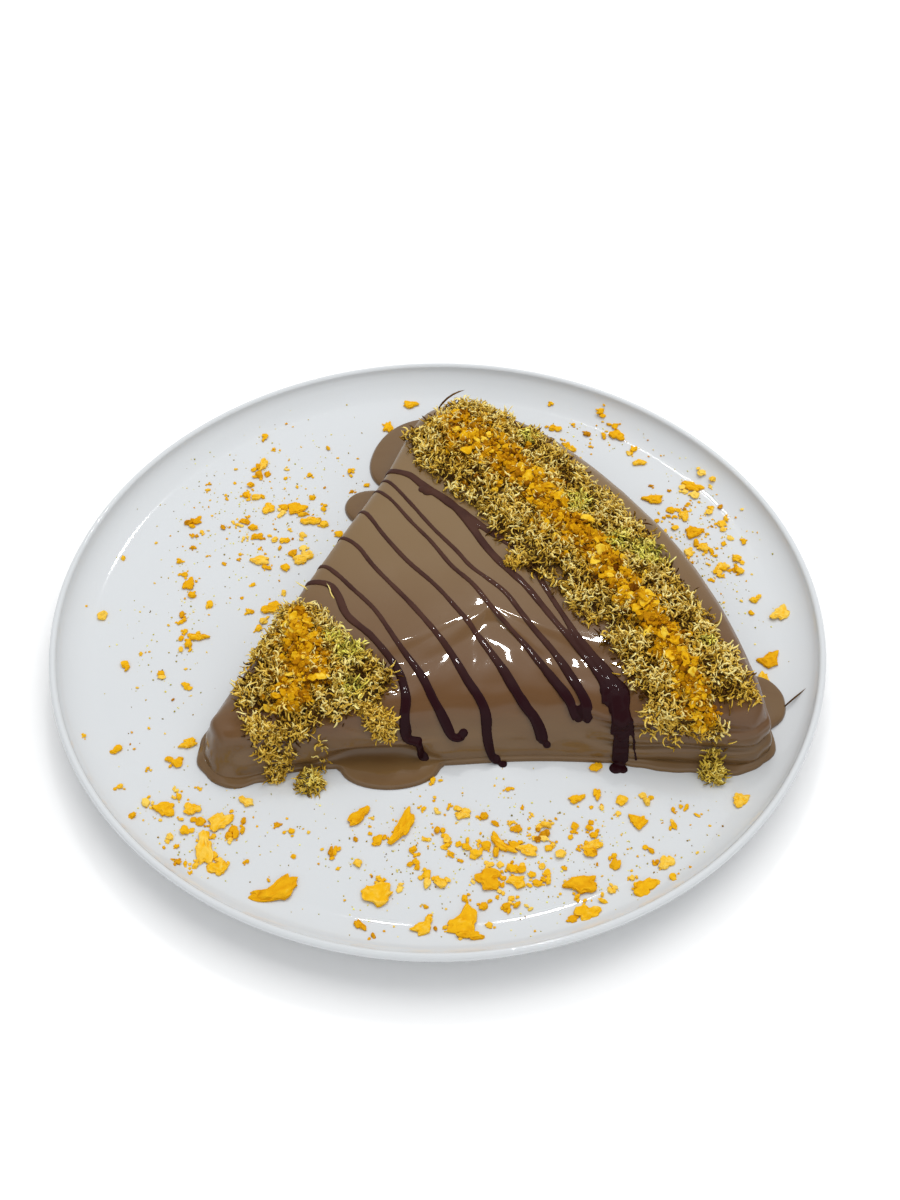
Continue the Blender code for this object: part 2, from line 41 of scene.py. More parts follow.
# Starting numbers of the random draws
seeds = {"shreds": 31, "tufts": 7, "stems": 9, "crumbs": 17, "flakes": 3, "scatter": 23}
print("frame loaded:", len(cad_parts), "nodes")


# Small tools for making pieces

def takeUp(piece):
    # Leaves this piece as the only selected and active one
    if bpy.context.object and bpy.context.object.mode != "OBJECT":
        bpy.ops.object.mode_set(mode="OBJECT")
    bpy.ops.object.select_all(action="DESELECT")
    if piece:
        piece.select_set(True)
        bpy.context.view_layer.objects.active = piece


def startPiece(name, addPrimitive, **values):
    takeUp(None)
    addPrimitive(**values)
    piece = bpy.context.object
    piece.name = name
    piece.data.name = name
    return piece


def closeSeams(piece):
    # Welds what meets and turns the faces outwards
    takeUp(piece)
    bpy.ops.object.mode_set(mode="EDIT")
    bpy.ops.mesh.select_all(action="SELECT")
    bpy.ops.mesh.remove_doubles(threshold=1e-6)
    bpy.ops.mesh.normals_make_consistent(inside=False)
    bpy.ops.object.mode_set(mode="OBJECT")
    bpy.ops.object.shade_smooth()


def applyModifier(piece, kind, **values):
    takeUp(piece)
    modifier = piece.modifiers.new(kind.title(), kind)
    for key, value in values.items():
        setattr(modifier, key, value)
    bpy.ops.object.modifier_apply(modifier=modifier.name)


def gridPiece(name, rings):
    # A grid primitive whose rows are laid on the given rings and welded to a closed skin
    rows, columns = rings.shape[:2]
    piece = startPiece(name, bpy.ops.mesh.primitive_grid_add, x_subdivisions=columns,
                       y_subdivisions=rows - 1, size=1)
    spots = np.empty(len(piece.data.vertices) * 3)
    piece.data.vertices.foreach_get("co", spots)
    spots = spots.reshape(-1, 3)
    column = np.rint((spots[:, 0] + 0.5) * columns).astype(int) % columns
    row = np.rint((spots[:, 1] + 0.5) * (rows - 1)).astype(int)
    piece.data.vertices.foreach_set("co", (rings[row, column] * mm).ravel())
    piece.data.update()
    closeSeams(piece)
    return piece


def meshPiece(name, vertices, faces, smooth=False):
    # A mesh straight from arrays, for what comes in thousands
    mesh = bpy.data.meshes.new(name)
    mesh.from_pydata((vertices * mm).tolist(), [], faces)
    mesh.polygons.foreach_set("use_smooth", [smooth] * len(mesh.polygons))
    mesh.update()
    piece = bpy.data.objects.new(name, mesh)
    bpy.context.scene.collection.objects.link(piece)
    return piece


def addTone(piece, values, name="tone"):
    # A number at each point, which the materials read as light or dark
    attribute = piece.data.attributes.new(name, "FLOAT", "POINT")
    attribute.data.foreach_set("value", np.asarray(values, np.float32))


def settle(piece, material, nodes=()):
    piece.data.materials.clear()
    piece.data.materials.append(material)
    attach(piece, "root")
    if nodes:
        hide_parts(*nodes)


# Shader maths as plain expressions

class Wire:
    def __init__(self, tree, socket):
        self.tree = tree
        self.socket = socket

    def maths(self, operation, first, second, clamp=False):
        settings = {"operation": operation, "use_clamp": clamp}
        return addNode(self.tree, "ShaderNodeMath", settings, {0: first, 1: second})

    def __add__(self, other):
        return self.maths("ADD", self, other)

    def __radd__(self, other):
        return self.maths("ADD", other, self)

    def __sub__(self, other):
        return self.maths("SUBTRACT", self, other)

    def __rsub__(self, other):
        return self.maths("SUBTRACT", other, self)

    def __mul__(self, other):
        return self.maths("MULTIPLY", self, other)

    def __rmul__(self, other):
        return self.maths("MULTIPLY", other, self)

    def clamped(self):
        return self.maths("ADD", self, 0.0, clamp=True)

    def step(self, low, high):
        # Rises smoothly from 0 to 1 between the two values
        return addNode(self.tree, "ShaderNodeMapRange", {"interpolation_type": "SMOOTHSTEP"},
                       {"Value": self, "From Min": low, "From Max": high})


def addNode(tree, kind, settings=None, values=None, output=0):
    node = tree.nodes.new(kind)
    for key, value in (settings or {}).items():
        if key == "stops":
            ramp = node.color_ramp
            while len(ramp.elements) < len(value):
                ramp.elements.new(0.5)
            for element, (place, colour) in zip(ramp.elements, value):
                element.position = place
                element.color = (*colour, 1)
        else:
            setattr(node, key, value)
    for key, value in (values or {}).items():
        if isinstance(value, Wire):
            tree.links.new(value.socket, node.inputs[key])
        else:
            node.inputs[key].default_value = value
    return Wire(tree, node.outputs[output])


class Finish:
    # One material: its place socket, patterns in millimetres and its surface
    def __init__(self, name):
        self.material = bpy.data.materials.new(name)
        self.material.use_nodes = True
        self.tree = self.material.node_tree
        self.shader = self.tree.nodes["Principled BSDF"]
        self.place = self.add("ShaderNodeTexCoord", output="Object")

    def add(self, kind, settings=None, values=None, output=0):
        return addNode(self.tree, kind, settings, values, output)

    def axis(self, number):
        return self.add("ShaderNodeSeparateXYZ", None, {0: self.place}, number) * (1 / mm)

    def cloud(self, size, detail=2.0, roughness=0.5, stretch=(1, 1, 1)):
        # Soft noise from 0 to 1 whose patches are about this many millimetres wide
        place = self.add("ShaderNodeVectorMath", {"operation": "MULTIPLY"},
                         {0: self.place, 1: stretch})
        return self.add("ShaderNodeTexNoise", None, {
            "Vector": place, "Scale": 1 / (size * mm), "Detail": detail,
            "Roughness": roughness})

    def grains(self, size):
        return self.add("ShaderNodeTexVoronoi", None,
                        {"Vector": self.place, "Scale": 1 / (size * mm)}, "Distance")

    def tone(self, name="tone"):
        return self.add("ShaderNodeAttribute", {"attribute_name": name}, None, "Fac")

    def ramp(self, value, stops):
        return self.add("ShaderNodeValToRGB", {"stops": stops}, {0: value})

    def mix(self, share, first, second):
        first, second = (c if isinstance(c, Wire) else (*c, 1) for c in (first, second))
        return self.add("ShaderNodeMix", {"data_type": "RGBA"}, {0: share, 6: first, 7: second}, 2)

    def bump(self, height, depth, under=None):
        values = {"Height": height, "Strength": 1.0, "Distance": depth * mm}
        if under:
            values["Normal"] = under
        return self.add("ShaderNodeBump", None, values)

    def surface(self, **values):
        # Socket names are written without their spaces
        for socket in self.shader.inputs:
            value = values.pop(socket.name.replace(" ", ""), None)
            if isinstance(value, Wire):
                self.tree.links.new(value.socket, socket)
            elif value is not None:
                socket.default_value = value
        assert not values, values
        return self.material


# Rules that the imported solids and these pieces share

plate = {
    "radius": 140, "rim": 17.5, "floor": 9, "floorRadius": 122, "thickness": 4.2, "lip": 1.3,
    "footRadius": 82, "footWidth": 6, "steepest": math.radians(78), "steps": 256,
    "glaze": (0.64, 0.66, 0.675), "clay": (0.62, 0.60, 0.55),
}
crepe = {
    "tip": (-84, -62), "radius": 199, "flattening": 4, "height": 19.5, "rightRise": 5,
    "tipDrop": 3.5, "crown": 1.6, "centre": (18, -8), "puddle": 2.2, "sink": 0.02,
    "frontRun": 21, "tipFrontRun": 10, "layeredFrontRun": 12.5, "backRun": 5.5, "arcRun": 8.5,
    "around": 420, "between": 3,
    # milk is the coat on the lit top; the next colour is painted shade for the front and the side streaks;
    # milkSide is painted shade and reflection on the steep lower sides
    "milk": (0.188, 0.112, 0.042), "milkDeep": (0.120, 0.053, 0.015),
    "milkSide": (0.150, 0.082, 0.029),
}
frontPoints = [(-80.5, -54), (-77.5, -63.5), (-69, -68.5), (-44, -63), (0, -61), (34, -59),
               (72, -60.5), (102, -62.5), (111, -59.5)]
backPoints = [(16, 105.5), (3, 105.5), (-8, 99), (-15, 86), (-24, 62), (-45, 18.5),
              (-66, -25), (-77.5, -45)]
# Pools of coating on the plate: where each lies, how far it spreads and half its width
pools = [((-16, -61.5), 10, 17.5), ((-12, 92), 13.5, 22), ((-25, 60), 12, 10), ((-70, -68), 2.5, 18),
         ((113.5, -35), 11, 12), ((114, -54), 2.5, 9), ((88, -62), 3, 26), ((-50, 12), 1.5, 14)]
# The side from the plate up, as shares of its run inwards and of the crepe's height
smoothSide = [(0, 0.10), (0.03, 0.22), (0.08, 0.33), (0.13, 0.42), (0.18, 0.50), (0.24, 0.59),
              (0.31, 0.68), (0.40, 0.78), (0.53, 0.88), (0.72, 0.95), (1.0, 0.985),
              (1.5, 1.0), (2.1, 1.004)]
layeredSide = [(-0.04, 0.10), (-0.05, 0.22), (0.03, 0.31), (0.17, 0.35), (0.10, 0.44),
               (0.11, 0.56), (0.20, 0.64), (0.33, 0.68), (0.28, 0.80), (0.45, 0.94),
               (1.0, 0.995), (1.5, 1.0), (2.1, 1.004)]


def smoothStep(value, low, high):
    t = np.clip((np.asarray(value, float) - low) / (high - low), 0, 1)
    return t * t * (3 - 2 * t)


def bumps(points, size, layer=0.0):
    # Smooth noise from -1 to 1 over the plan, with lumps about this many millimetres wide
    return np.array([noise.noise(Vector((p[0] / size, p[1] / size, layer))) for p in points])


def swells(points, size):
    # The same kind of noise at places in space
    return np.array([noise.noise(Vector(p) / size) for p in points])


def splineRows(rows, between, closed=False):
    # More rows on smooth curves through the given ones
    rows = np.asarray(rows, float)
    count = len(rows)
    spans = count if closed else count - 1
    fine = []
    for i in range(spans):
        near = [(i + k) % count if closed else min(max(i + k, 0), count - 1) for k in (-1, 0, 1, 2)]
        a, b, c, d = rows[near]
        for t in np.arange(between) / between:
            fine.append(0.5 * (2 * b + (c - a) * t + (2 * a - 5 * b + 4 * c - d) * t ** 2
                               + (3 * b - a - 3 * c + d) * t ** 3))
    fine.append(fine[0] if closed else rows[-1])
    return np.array(fine)


def evenLine(points, count, closed=False):
    # Evenly spaced points on a smooth curve through the given ones
    fine = splineRows(points, 12, closed)
    lengths = np.r_[0, np.cumsum(np.linalg.norm(np.diff(fine, axis=0), axis=1))]
    wanted = np.linspace(0, lengths[-1], count, endpoint=not closed)
    return np.stack([np.interp(wanted, lengths, column) for column in fine.T], axis=1)


def wallHeight(radius):
    reach = plate["radius"] - 2 * plate["lip"] - plate["floorRadius"]
    rise = plate["rim"] - plate["lip"] - plate["floor"]
    share = np.clip((radius - plate["floorRadius"]) / reach, 0, 1)
    slope = np.arcsin(share * math.sin(plate["steepest"]))
    return plate["floor"] + rise * (1 - np.cos(slope)) / (1 - math.cos(plate["steepest"]))


def arcPoint(degrees):
    turn = math.radians(degrees)
    radius = crepe["radius"] - crepe["flattening"] * math.sin(math.pi * degrees / 60)
    return (crepe["tip"][0] + radius * math.cos(turn), crepe["tip"][1] + radius * math.sin(turn))


def crepeOutline(count):
    arc = [arcPoint(degrees) for degrees in (3, 12, 22, 32, 42, 50)]
    return evenLine(frontPoints + arc + backPoints, count, closed=True)


def poolSpread(points):
    spread = np.full(len(points), 0.7)
    for centre, reach, halfWidth in pools:
        away = np.linalg.norm(points - centre, axis=1) / halfWidth
        spread = np.maximum(spread, reach * np.sqrt(np.maximum(0, 1 - away ** 2)))
    return spread


def edgeDistance(points, outline):
    starts, along = outline, np.roll(outline, -1, axis=0) - outline
    apart = points[:, None] - starts
    share = np.clip((apart * along).sum(2) / (along ** 2).sum(1), 0, 1)
    return np.linalg.norm(apart - share[..., None] * along, axis=2).min(1)


def insetPoints(outline, depth):
    # The points towards the crepe's centre that lie this deep inside, or outside if negative
    centre = np.array(crepe["centre"], float)
    inward = centre - outline
    low = np.zeros(len(outline))
    high = np.full(len(outline), 0.9)
    for _ in range(13):
        middle = (low + high) / 2
        short = edgeDistance(outline + inward * middle[:, None], outline) < depth
        low = np.where(short, middle, low)
        high = np.where(short, high, middle)
    inside = outline + inward * high[:, None]
    outside = outline - inward / np.linalg.norm(inward, axis=1)[:, None] * np.minimum(depth, 0)[:, None] * -1
    return np.where((depth > 0)[:, None], inside, outside)


def topHeight(points):
    rise = crepe["rightRise"] * smoothStep(points[:, 0], 45, 100)
    away = np.linalg.norm(points - np.array(crepe["tip"]), axis=1)
    drop = crepe["tipDrop"] * (1 - smoothStep(away, 20, 70))
    return crepe["height"] + rise - drop + 0.5 * bumps(points, 22.2)


class Ground:
    # What lies under a topping: heights and normals seen from straight above
    def __init__(self, *pieces):
        self.trees = []
        for piece in pieces:
            mesh = piece.data
            corners = [v.co / mm for v in mesh.vertices]
            self.trees.append(BVHTree.FromPolygons(corners, [tuple(p.vertices) for p in mesh.polygons]))

    def hit(self, x, y):
        best = (Vector((x, y, plate["floor"])), Vector((0, 0, 1)))
        for tree in self.trees:
            place, normal, _, _ = tree.ray_cast(Vector((x + 0.003, y + 0.002, 200)), Vector((0, 0, -1)))
            if place and place.z > best[0].z:
                best = (place, normal if normal.z > 0 else -normal)
        return best

    def hits(self, points):
        found = [self.hit(*p[:2]) for p in points]
        return np.array([f[0] for f in found]), np.array([f[1] for f in found])


# Plate

def plateProfile():
    under = plate["floor"] - plate["thickness"]
    outer = plate["footRadius"]
    inner = outer - plate["footWidth"]
    reach = plate["radius"] - 2 * plate["lip"] - plate["floorRadius"]
    line = [(0, under), (30, under), (60, under), (inner - 3.2, under), (inner - 1.6, under - 0.6),
            (inner - 0.6, under - 2.2), (inner, 0.9), (inner + 0.5, 0.2), (inner + 1.2, 0),
            (outer - 1.2, 0), (outer - 0.5, 0.2), (outer, 0.9), (outer + 0.6, under - 2.2),
            (outer + 1.8, under - 0.5), (outer + 4, under), (100, under), (112, under)]
    for share in np.linspace(0, 1, 15):
        slope = math.asin(share * math.sin(plate["steepest"]))
        thick = plate["thickness"] + (2 * plate["lip"] - plate["thickness"]) * share
        radius = plate["floorRadius"] + share * reach
        line.append((radius + math.sin(slope) * thick, float(wallHeight(radius)) - math.cos(slope) * thick))
    for degrees in range(0, 171, 17):
        turn = math.radians(degrees)
        line.append((plate["radius"] - plate["lip"] + plate["lip"] * math.cos(turn),
                     plate["rim"] - plate["lip"] + plate["lip"] * math.sin(turn)))
    for share in np.linspace(1, 0, 19):
        radius = plate["floorRadius"] + share * reach
        line.append((radius, float(wallHeight(radius))))
    line += [(radius, plate["floor"]) for radius in (120, 116, 108, 95, 75, 50, 25, 0)]
    return line


def makePlate(material):
    # One point is extruded along the profile, and the line is then spun round the middle
    profile = plateProfile()
    piece = startPiece("plateBody", bpy.ops.mesh.primitive_plane_add, size=0.001)
    bpy.ops.object.mode_set(mode="EDIT")
    bpy.ops.mesh.select_all(action="SELECT")
    bpy.ops.mesh.merge(type="CENTER")
    bpy.ops.transform.translate(value=(profile[0][0] * mm, 0, profile[0][1] * mm))
    for (r0, z0), (r1, z1) in zip(profile, profile[1:]):
        step = ((r1 - r0) * mm, 0, (z1 - z0) * mm)
        bpy.ops.mesh.extrude_region_move(TRANSFORM_OT_translate={"value": step})
    bpy.ops.mesh.select_all(action="SELECT")
    bpy.ops.mesh.spin(steps=plate["steps"], angle=2 * math.pi, center=(0, 0, 0), axis=(0, 0, 1))
    closeSeams(piece)
    settle(piece, material, ["plate"])
    return piece


def glazeFinish():
    f = Finish("porcelainGlaze")
    unglazed = 1 - f.axis(2).step(0.15, 0.5)
    colour = f.mix(f.cloud(30), plate["glaze"], tuple(c * 0.97 for c in plate["glaze"]))
    colour = f.mix(unglazed, colour, plate["clay"])
    rough = 0.035 + 0.025 * f.cloud(9) + 0.5 * unglazed
    bump = f.bump(f.cloud(14, 1), 0.008)
    return f.surface(BaseColor=colour, Roughness=rough, Normal=bump, IOR=1.5)


# Crepe

def sideRun(outline, outward, layers):
    smoothRun = smoothStep(outline[:, 0], -45, 5)
    smoothRun = crepe["tipFrontRun"] + (crepe["frontRun"] - crepe["tipFrontRun"]) * smoothRun
    frontRun = smoothRun + (crepe["layeredFrontRun"] - smoothRun) * layers
    front = np.maximum(0, -outward[:, 1]) ** 2
    back = np.maximum(0, -outward[:, 0]) ** 2
    arc = np.maximum(0, 1 - front - back)
    total = front + back + arc
    return (front * frontRun + back * crepe["backRun"] + arc * crepe["arcRun"]) / total


def crepeRings():
    outline = crepeOutline(crepe["around"])
    along = np.roll(outline, -1, axis=0) - np.roll(outline, 1, axis=0)
    outward = np.stack([along[:, 1], -along[:, 0]], 1)
    outward /= np.linalg.norm(outward, axis=1)[:, None]
    centre = np.array(crepe["centre"], float)
    floor = plate["floor"] - crepe["sink"]
    ragged = np.maximum(smoothStep(outline[:, 0], 50, 70), 1 - smoothStep(outline[:, 0], -62, -48))
    spread = poolSpread(outline) + 0.5 + 1.2 * bumps(outline, 7, 3) * ragged
    rows = [np.c_[outline + (centre - outline) * 0.16, np.full(len(outline), floor)]]

    def skirt(distance, height):
        edge = outline + outward * distance[:, None]
        under = wallHeight(np.linalg.norm(edge, axis=1)) - plate["floor"]
        rows.append(np.c_[edge, floor + under + height])

    bead = np.minimum(spread * 0.8, crepe["puddle"] * 0.85)
    for degrees in (-8, 15, 45, 75):
        turn = math.radians(degrees)
        level = np.full(len(outline), max(0.0, math.sin(turn)))
        skirt(spread - bead * (1 - math.cos(turn)), crepe["puddle"] * 0.82 * level)
    for share, level in ((0.62, 0.995), (0.3, 1.0), (0.1, 1.0)):
        skirt((spread - bead) * share + 0.15, crepe["puddle"] * level * np.ones(len(outline)))

    away = np.linalg.norm(outline - np.array(crepe["tip"]), axis=1)
    layers = np.maximum(smoothStep(outline[:, 0], 50, 66), smoothStep(away, 168, 188))
    run = sideRun(outline, outward, layers)
    sway = bumps(outline, 16, 7)
    for smooth, layered in zip(smoothSide, layeredSide):
        depth = run * (smooth[0] + (layered[0] - smooth[0]) * layers)
        level = smooth[1] + (layered[1] - smooth[1]) * layers
        tiers = layers * np.sin(math.pi * np.clip(level, 0, 1))
        level = level + 0.05 * sway * tiers
        points = insetPoints(outline, depth)
        height = np.maximum(level * topHeight(points), crepe["puddle"] * 1.02)
        lift = np.maximum(1 - level, 0) * (wallHeight(np.linalg.norm(outline, axis=1)) - plate["floor"])
        rows.append(np.c_[points, floor + height + lift])
    for share in (0.16, 0.32, 0.48, 0.64, 0.8, 0.92):
        inner = points + (centre - points) * share
        crown = crepe["crown"] * float(smoothStep(share, 0, 1))
        rows.append(np.c_[inner, floor + topHeight(inner) * 1.004 + crown])
    rings = splineRows(rows[1:], crepe["between"])
    peak = np.array([*centre, floor + float(topHeight(centre[None])[0]) * 1.004 + crepe["crown"]])
    ends = np.tile(peak, (1, len(outline), 1))
    under = np.tile(np.array([*centre, floor]), (1, len(outline), 1))
    return np.concatenate([under, rows[0][None], rings, ends])


def addRelief(piece):
    # The coating's own unevenness: slow swells, fine ripples and the fold's edge in front
    mesh = piece.data
    count = len(mesh.vertices)
    spots = np.empty(count * 3)
    normals = np.empty(count * 3)
    mesh.vertices.foreach_get("co", spots)
    mesh.vertices.foreach_get("normal", normals)
    spots = spots.reshape(-1, 3) / mm
    normals = normals.reshape(-1, 3)
    x, y, z = spots.T
    raised = smoothStep(z, 11.5, 14)
    swell = swells(spots, 15)
    ripple = np.array([noise.noise(Vector((p[0] / 13, p[1] / 7, p[2] / 4.5))) for p in spots])
    fine = swells(spots, 3.6)
    front = smoothStep(-y, 18, 40)
    wave = swells(spots, 7.5)
    push = raised * (0.32 * swell + (0.06 + 0.34 * front) * ripple + 0.03 * fine
                     + 0.22 * front * wave)
    nose = 1 - smoothStep(np.hypot(x - crepe["tip"][0], y - crepe["tip"][1]), 16, 32)
    push += nose * (1.5 * swells(spots, 8) - 0.3)
    creaseHeight = 26.5 - 8 * smoothStep(x, -42, -8)
    inFold = smoothStep(x, -62, -48) * (1 - smoothStep(x, -8, 8)) * smoothStep(-normals[:, 1], 0.3, 0.7)
    push += 1.1 * inFold * smoothStep(creaseHeight - z, -0.6, 1.0) * raised
    spots += normals * push[:, None]
    hollow = smoothStep(x, -44, -26) * (1 - smoothStep(x, -14, 3)) * smoothStep(-normals[:, 1], 0.1, 0.4)
    level = plate["floor"] + crepe["puddle"] - crepe["sink"]
    flat = 0.92 * hollow * (1 - smoothStep(z, 11.6, 13.5)) * (z > level)
    spots[:, 1] += 5.0 * hollow * smoothStep(18.5 - z, 0, 5) * smoothStep(z, 11.25, 11.8)
    spots[:, 2] -= (z - level) * flat
    mesh.vertices.foreach_set("co", (spots * mm).ravel())
    mesh.update()


def smoothWhere(piece, name, weights, rounds):
    # Smooths a piece only as far as each point's weight says
    group = piece.vertex_groups.new(name=name)
    for number, weight in enumerate(weights):
        if weight > 0:
            group.add([number], weight, "REPLACE")
    applyModifier(piece, "SMOOTH", factor=0.5, iterations=rounds, vertex_group=name)


def softenPuddle(piece):
    # The front puddle runs into the hollow behind it without a step
    x, y, z = np.array([v.co for v in piece.data.vertices]).T / mm
    inside = smoothStep(x, -42, -34) * (1 - smoothStep(x, 0, 8)) * (y < -45)
    weights = inside * smoothStep(z, 10.8, 11.1) * (1 - smoothStep(z, 11.9, 12.8))
    smoothWhere(piece, "still", weights, 25)
    reach = 0.9  # how far above the level the surface is pressed down
    level = plate["floor"] + crepe["puddle"] - 0.06
    for vertex, share in zip(piece.data.vertices, inside):
        rise = (vertex.co.z / mm - level) / reach
        if 0 < rise < 1 and share > 0:
            vertex.co.z -= reach * mm * share * (rise - rise ** 2)


def makeCrepe(material):
    piece = gridPiece("crepeBody", crepeRings())
    spots = np.array([v.co for v in piece.data.vertices]) / mm
    heights = spots[:, 2]
    fromTip = np.linalg.norm(spots[:, :2] - np.array(crepe["tip"]), axis=1)
    nose = 0.7 * (1 - smoothStep(fromTip, 20, 36)) * smoothStep(heights, 10.4, 12.5)
    smoothWhere(piece, "soft", np.maximum(smoothStep(heights, 26.2, 27.8), nose), 50)
    addRelief(piece)
    softenPuddle(piece)
    settle(piece, material, ["crepe"])
    return piece


def milkFinish():
    f = Finish("milkChocolate")
    # Painted shade: the coat darkens towards the front, where it reflects less of the bright room.
    near = (0 - f.axis(1) + 14 * (f.cloud(24, 3) - 0.5)).step(-45, 50)
    colour = f.mix(near, crepe["milk"], crepe["milkDeep"])
    # Painted shade and reflection: the steep lower sides take their own colour, darker than the lit top and
    # lighter than the shaded front, where they mirror the plate.
    low = (28 - f.axis(2) + 6 * (f.cloud(9, 3, stretch=(0.4, 1, 1)) - 0.5)).step(1, 9)
    colour = f.mix(low, colour, crepe["milkSide"])
    # Dark streaks along the lower sides: partly flow marks in the coat, partly painted shade bands of its
    # ripples.
    streak = f.cloud(7, 3, stretch=(0.35, 1, 1)).step(0.45, 0.75)
    colour = f.mix(0.35 * streak * low, colour, crepe["milkDeep"])
    rough = 0.30 + 0.12 * f.cloud(12, 3)
    dots = 1 - f.grains(6.5).step(0.0, 0.055)
    bump = f.bump(f.cloud(4, 2), 0.02, f.bump(dots, 0.05))
    return f.surface(BaseColor=colour, Roughness=rough, Normal=bump, CoatWeight=0.6,
                     CoatRoughness=0.035, SpecularIORLevel=0.25)


# Dark lines

drizzle = {
    "halfWidth": 1.6, "halfHeight": 0.5, "sink": 0.08, "step": 1.0, "voxel": 0.34, "onTop": 0.78,
    # The first colour is the lines' own dark in front; the second is lighter over the top, a painted sheen of
    # the glossy coat.
    "dark": (0.018, 0.0036, 0.0052), "thin": (0.066, 0.028, 0.019),
}
# Each line runs in plan from the edge behind to the front: its places, then its thickness
# along the way and the radius of the drop that ends it
drizzleLines = [
    ([(-49, 6), (-40, 4), (-36, -1), (-32, -11), (-24, -20), (-19, -27), (-15, -33), (-12, -40),
      (-10.5, -48), (-11, -54), (-10, -57.6), (-7, -58.6), (-5, -59.6)], (0.9, 1.3, 1.0, 1.1, 1.5), 2.0),
    ([(-45, 14.5), (-41, 13), (-36, 8), (-31, 2), (-22, -9), (-14, -24), (-6, -37), (-1, -48),
      (3, -54), (5.5, -57), (8, -57)], (0.8, 0.8, 0.8, 1.0, 1.4), 1.7),
    ([(-38.5, 30), (-34, 27), (-29, 22), (-23, 12), (-11, -4), (-3, -16), (4, -27), (10, -39),
      (16, -50), (17, -56), (18, -58.5), (20, -60.3)], (0.8, 0.8, 0.9, 1.1, 1.3), 1.9),
    ([(-32, 43.5), (-27, 40), (-20, 28), (-12, 16), (-2, 4), (5, -6), (14, -20), (22, -34),
      (28, -46), (34, -53), (36, -56.5)], (0.8, 0.8, 0.8, 1.1, 1.5), 1.9),
    ([(-26.5, 56), (-18, 47), (-10, 35), (-3, 25), (5, 12), (13, 2), (21, -11), (29, -22),
      (37, -35), (44, -46), (48, -52.5)], (0.7, 0.7, 0.8, 0.9, 1.4), 1.5),
    ([(-24, 60), (-19, 57), (-10, 44), (-1, 30), (7, 19), (13, 10), (24, -1), (32, -15),
      (41, -29), (47, -41), (50.5, -49), (51, -53)], (0.7, 0.7, 0.8, 1.0, 1.3), 1.5),
    ([(-22, 65), (-16, 62.5), (-11, 60), (-7, 55.5), (-3, 51.5), (1, 48), (6, 42.5), (10, 36.5),
      (17, 22.5), (23, 13), (32, 1.5), (41, -14), (46, -22), (52, -31), (57, -41), (58, -50)],
     (0.9, 1.5, 1.3, 1.0, 1.5), 1.4),
    ([(4, 44.5), (10, 38.5), (17, 31), (24, 25), (29, 20.5), (33, 15), (38, 3), (44, -11),
      (49, -22), (55, -32), (60, -41), (63, -46), (62.5, -53), (62.5, -58), (62.5, -61)],
     (1.3, 1.1, 0.9, 1.4, 1.9), 2.3),
    ([(51, -30), (58, -40), (61, -48), (62, -54), (62.3, -58)], (1.0, 1.3, 1.7, 2.1, 2.4), 2.4),
    ([(65, -55), (66.5, -58.5), (68, -61)], (0.7, 0.4, 0.4), 0.6),
]
# Loose drops beside the lines: place in plan and radius
drops = [((-4, 51), 2.6), ((-6, 52), 2.0), ((-4.5, -60.5), 2.1), ((22.5, -61.3), 1.9), ((61, -63.2), 2.6),
         ((63.5, -63.6), 2.0), ((37.5, -57.5), 1.7), ((62, -56), 3.2), ((9, -56), 1.9),
         ((58, -45), 3.2), ((60.5, -48.5), 3.8), ((61, -52), 3.6), ((49, -51), 2.4)]


def flatRing(name):
    ring = startPiece(name, bpy.ops.curve.primitive_bezier_circle_add, radius=1)
    ring.data.resolution_u = 5
    for point in ring.data.splines[0].bezier_points:
        point.co.x *= drizzle["halfWidth"] * mm
        point.co.y *= drizzle["halfHeight"] * mm
        for handle in (point.handle_left, point.handle_right):
            handle.x *= drizzle["halfWidth"] * mm
            handle.y *= drizzle["halfHeight"] * mm
    return ring


def layLine(name, route, thickness, ring, ground):
    # A curve that follows the ground, swept with the flat ring and made a mesh
    length = np.linalg.norm(np.diff(np.array(route), axis=0), axis=1).sum()
    plan = evenLine(route, int(length / drizzle["step"]) + 3)
    places, _ = ground.hits(plan)
    places = evenLine(places, int(length / drizzle["step"]) + 8)
    curve = bpy.data.curves.new(name, "CURVE")
    curve.dimensions = "3D"
    curve.twist_mode = "Z_UP"
    curve.bevel_mode = "OBJECT"
    curve.bevel_object = ring
    curve.use_fill_caps = True
    spline = curve.splines.new("POLY")
    spline.points.add(len(places) - 1)
    shares = np.linspace(0, 1, len(places))
    widths = np.interp(shares, np.linspace(0, 1, len(thickness)), thickness)
    widths *= 1 + 0.12 * bumps(plan[np.linspace(0, len(plan) - 1, len(places)).astype(int)], 5, 2)
    thinner = drizzle["onTop"]  # share of the width that the lines have over the top
    widths *= thinner + (1 - thinner) * smoothStep(-places[:, 1], 15, 45)
    widths[0] *= 0.45
    for point, place, width in zip(spline.points, places, widths):
        lift = drizzle["sink"] * width + 0.1 * (place[2] < 24)
        point.co = (place[0] * mm, place[1] * mm, (place[2] + lift) * mm, 1)
        point.radius = width
    line = bpy.data.objects.new(name, curve)
    bpy.context.scene.collection.objects.link(line)
    takeUp(line)
    bpy.ops.object.convert(target="MESH")
    return line


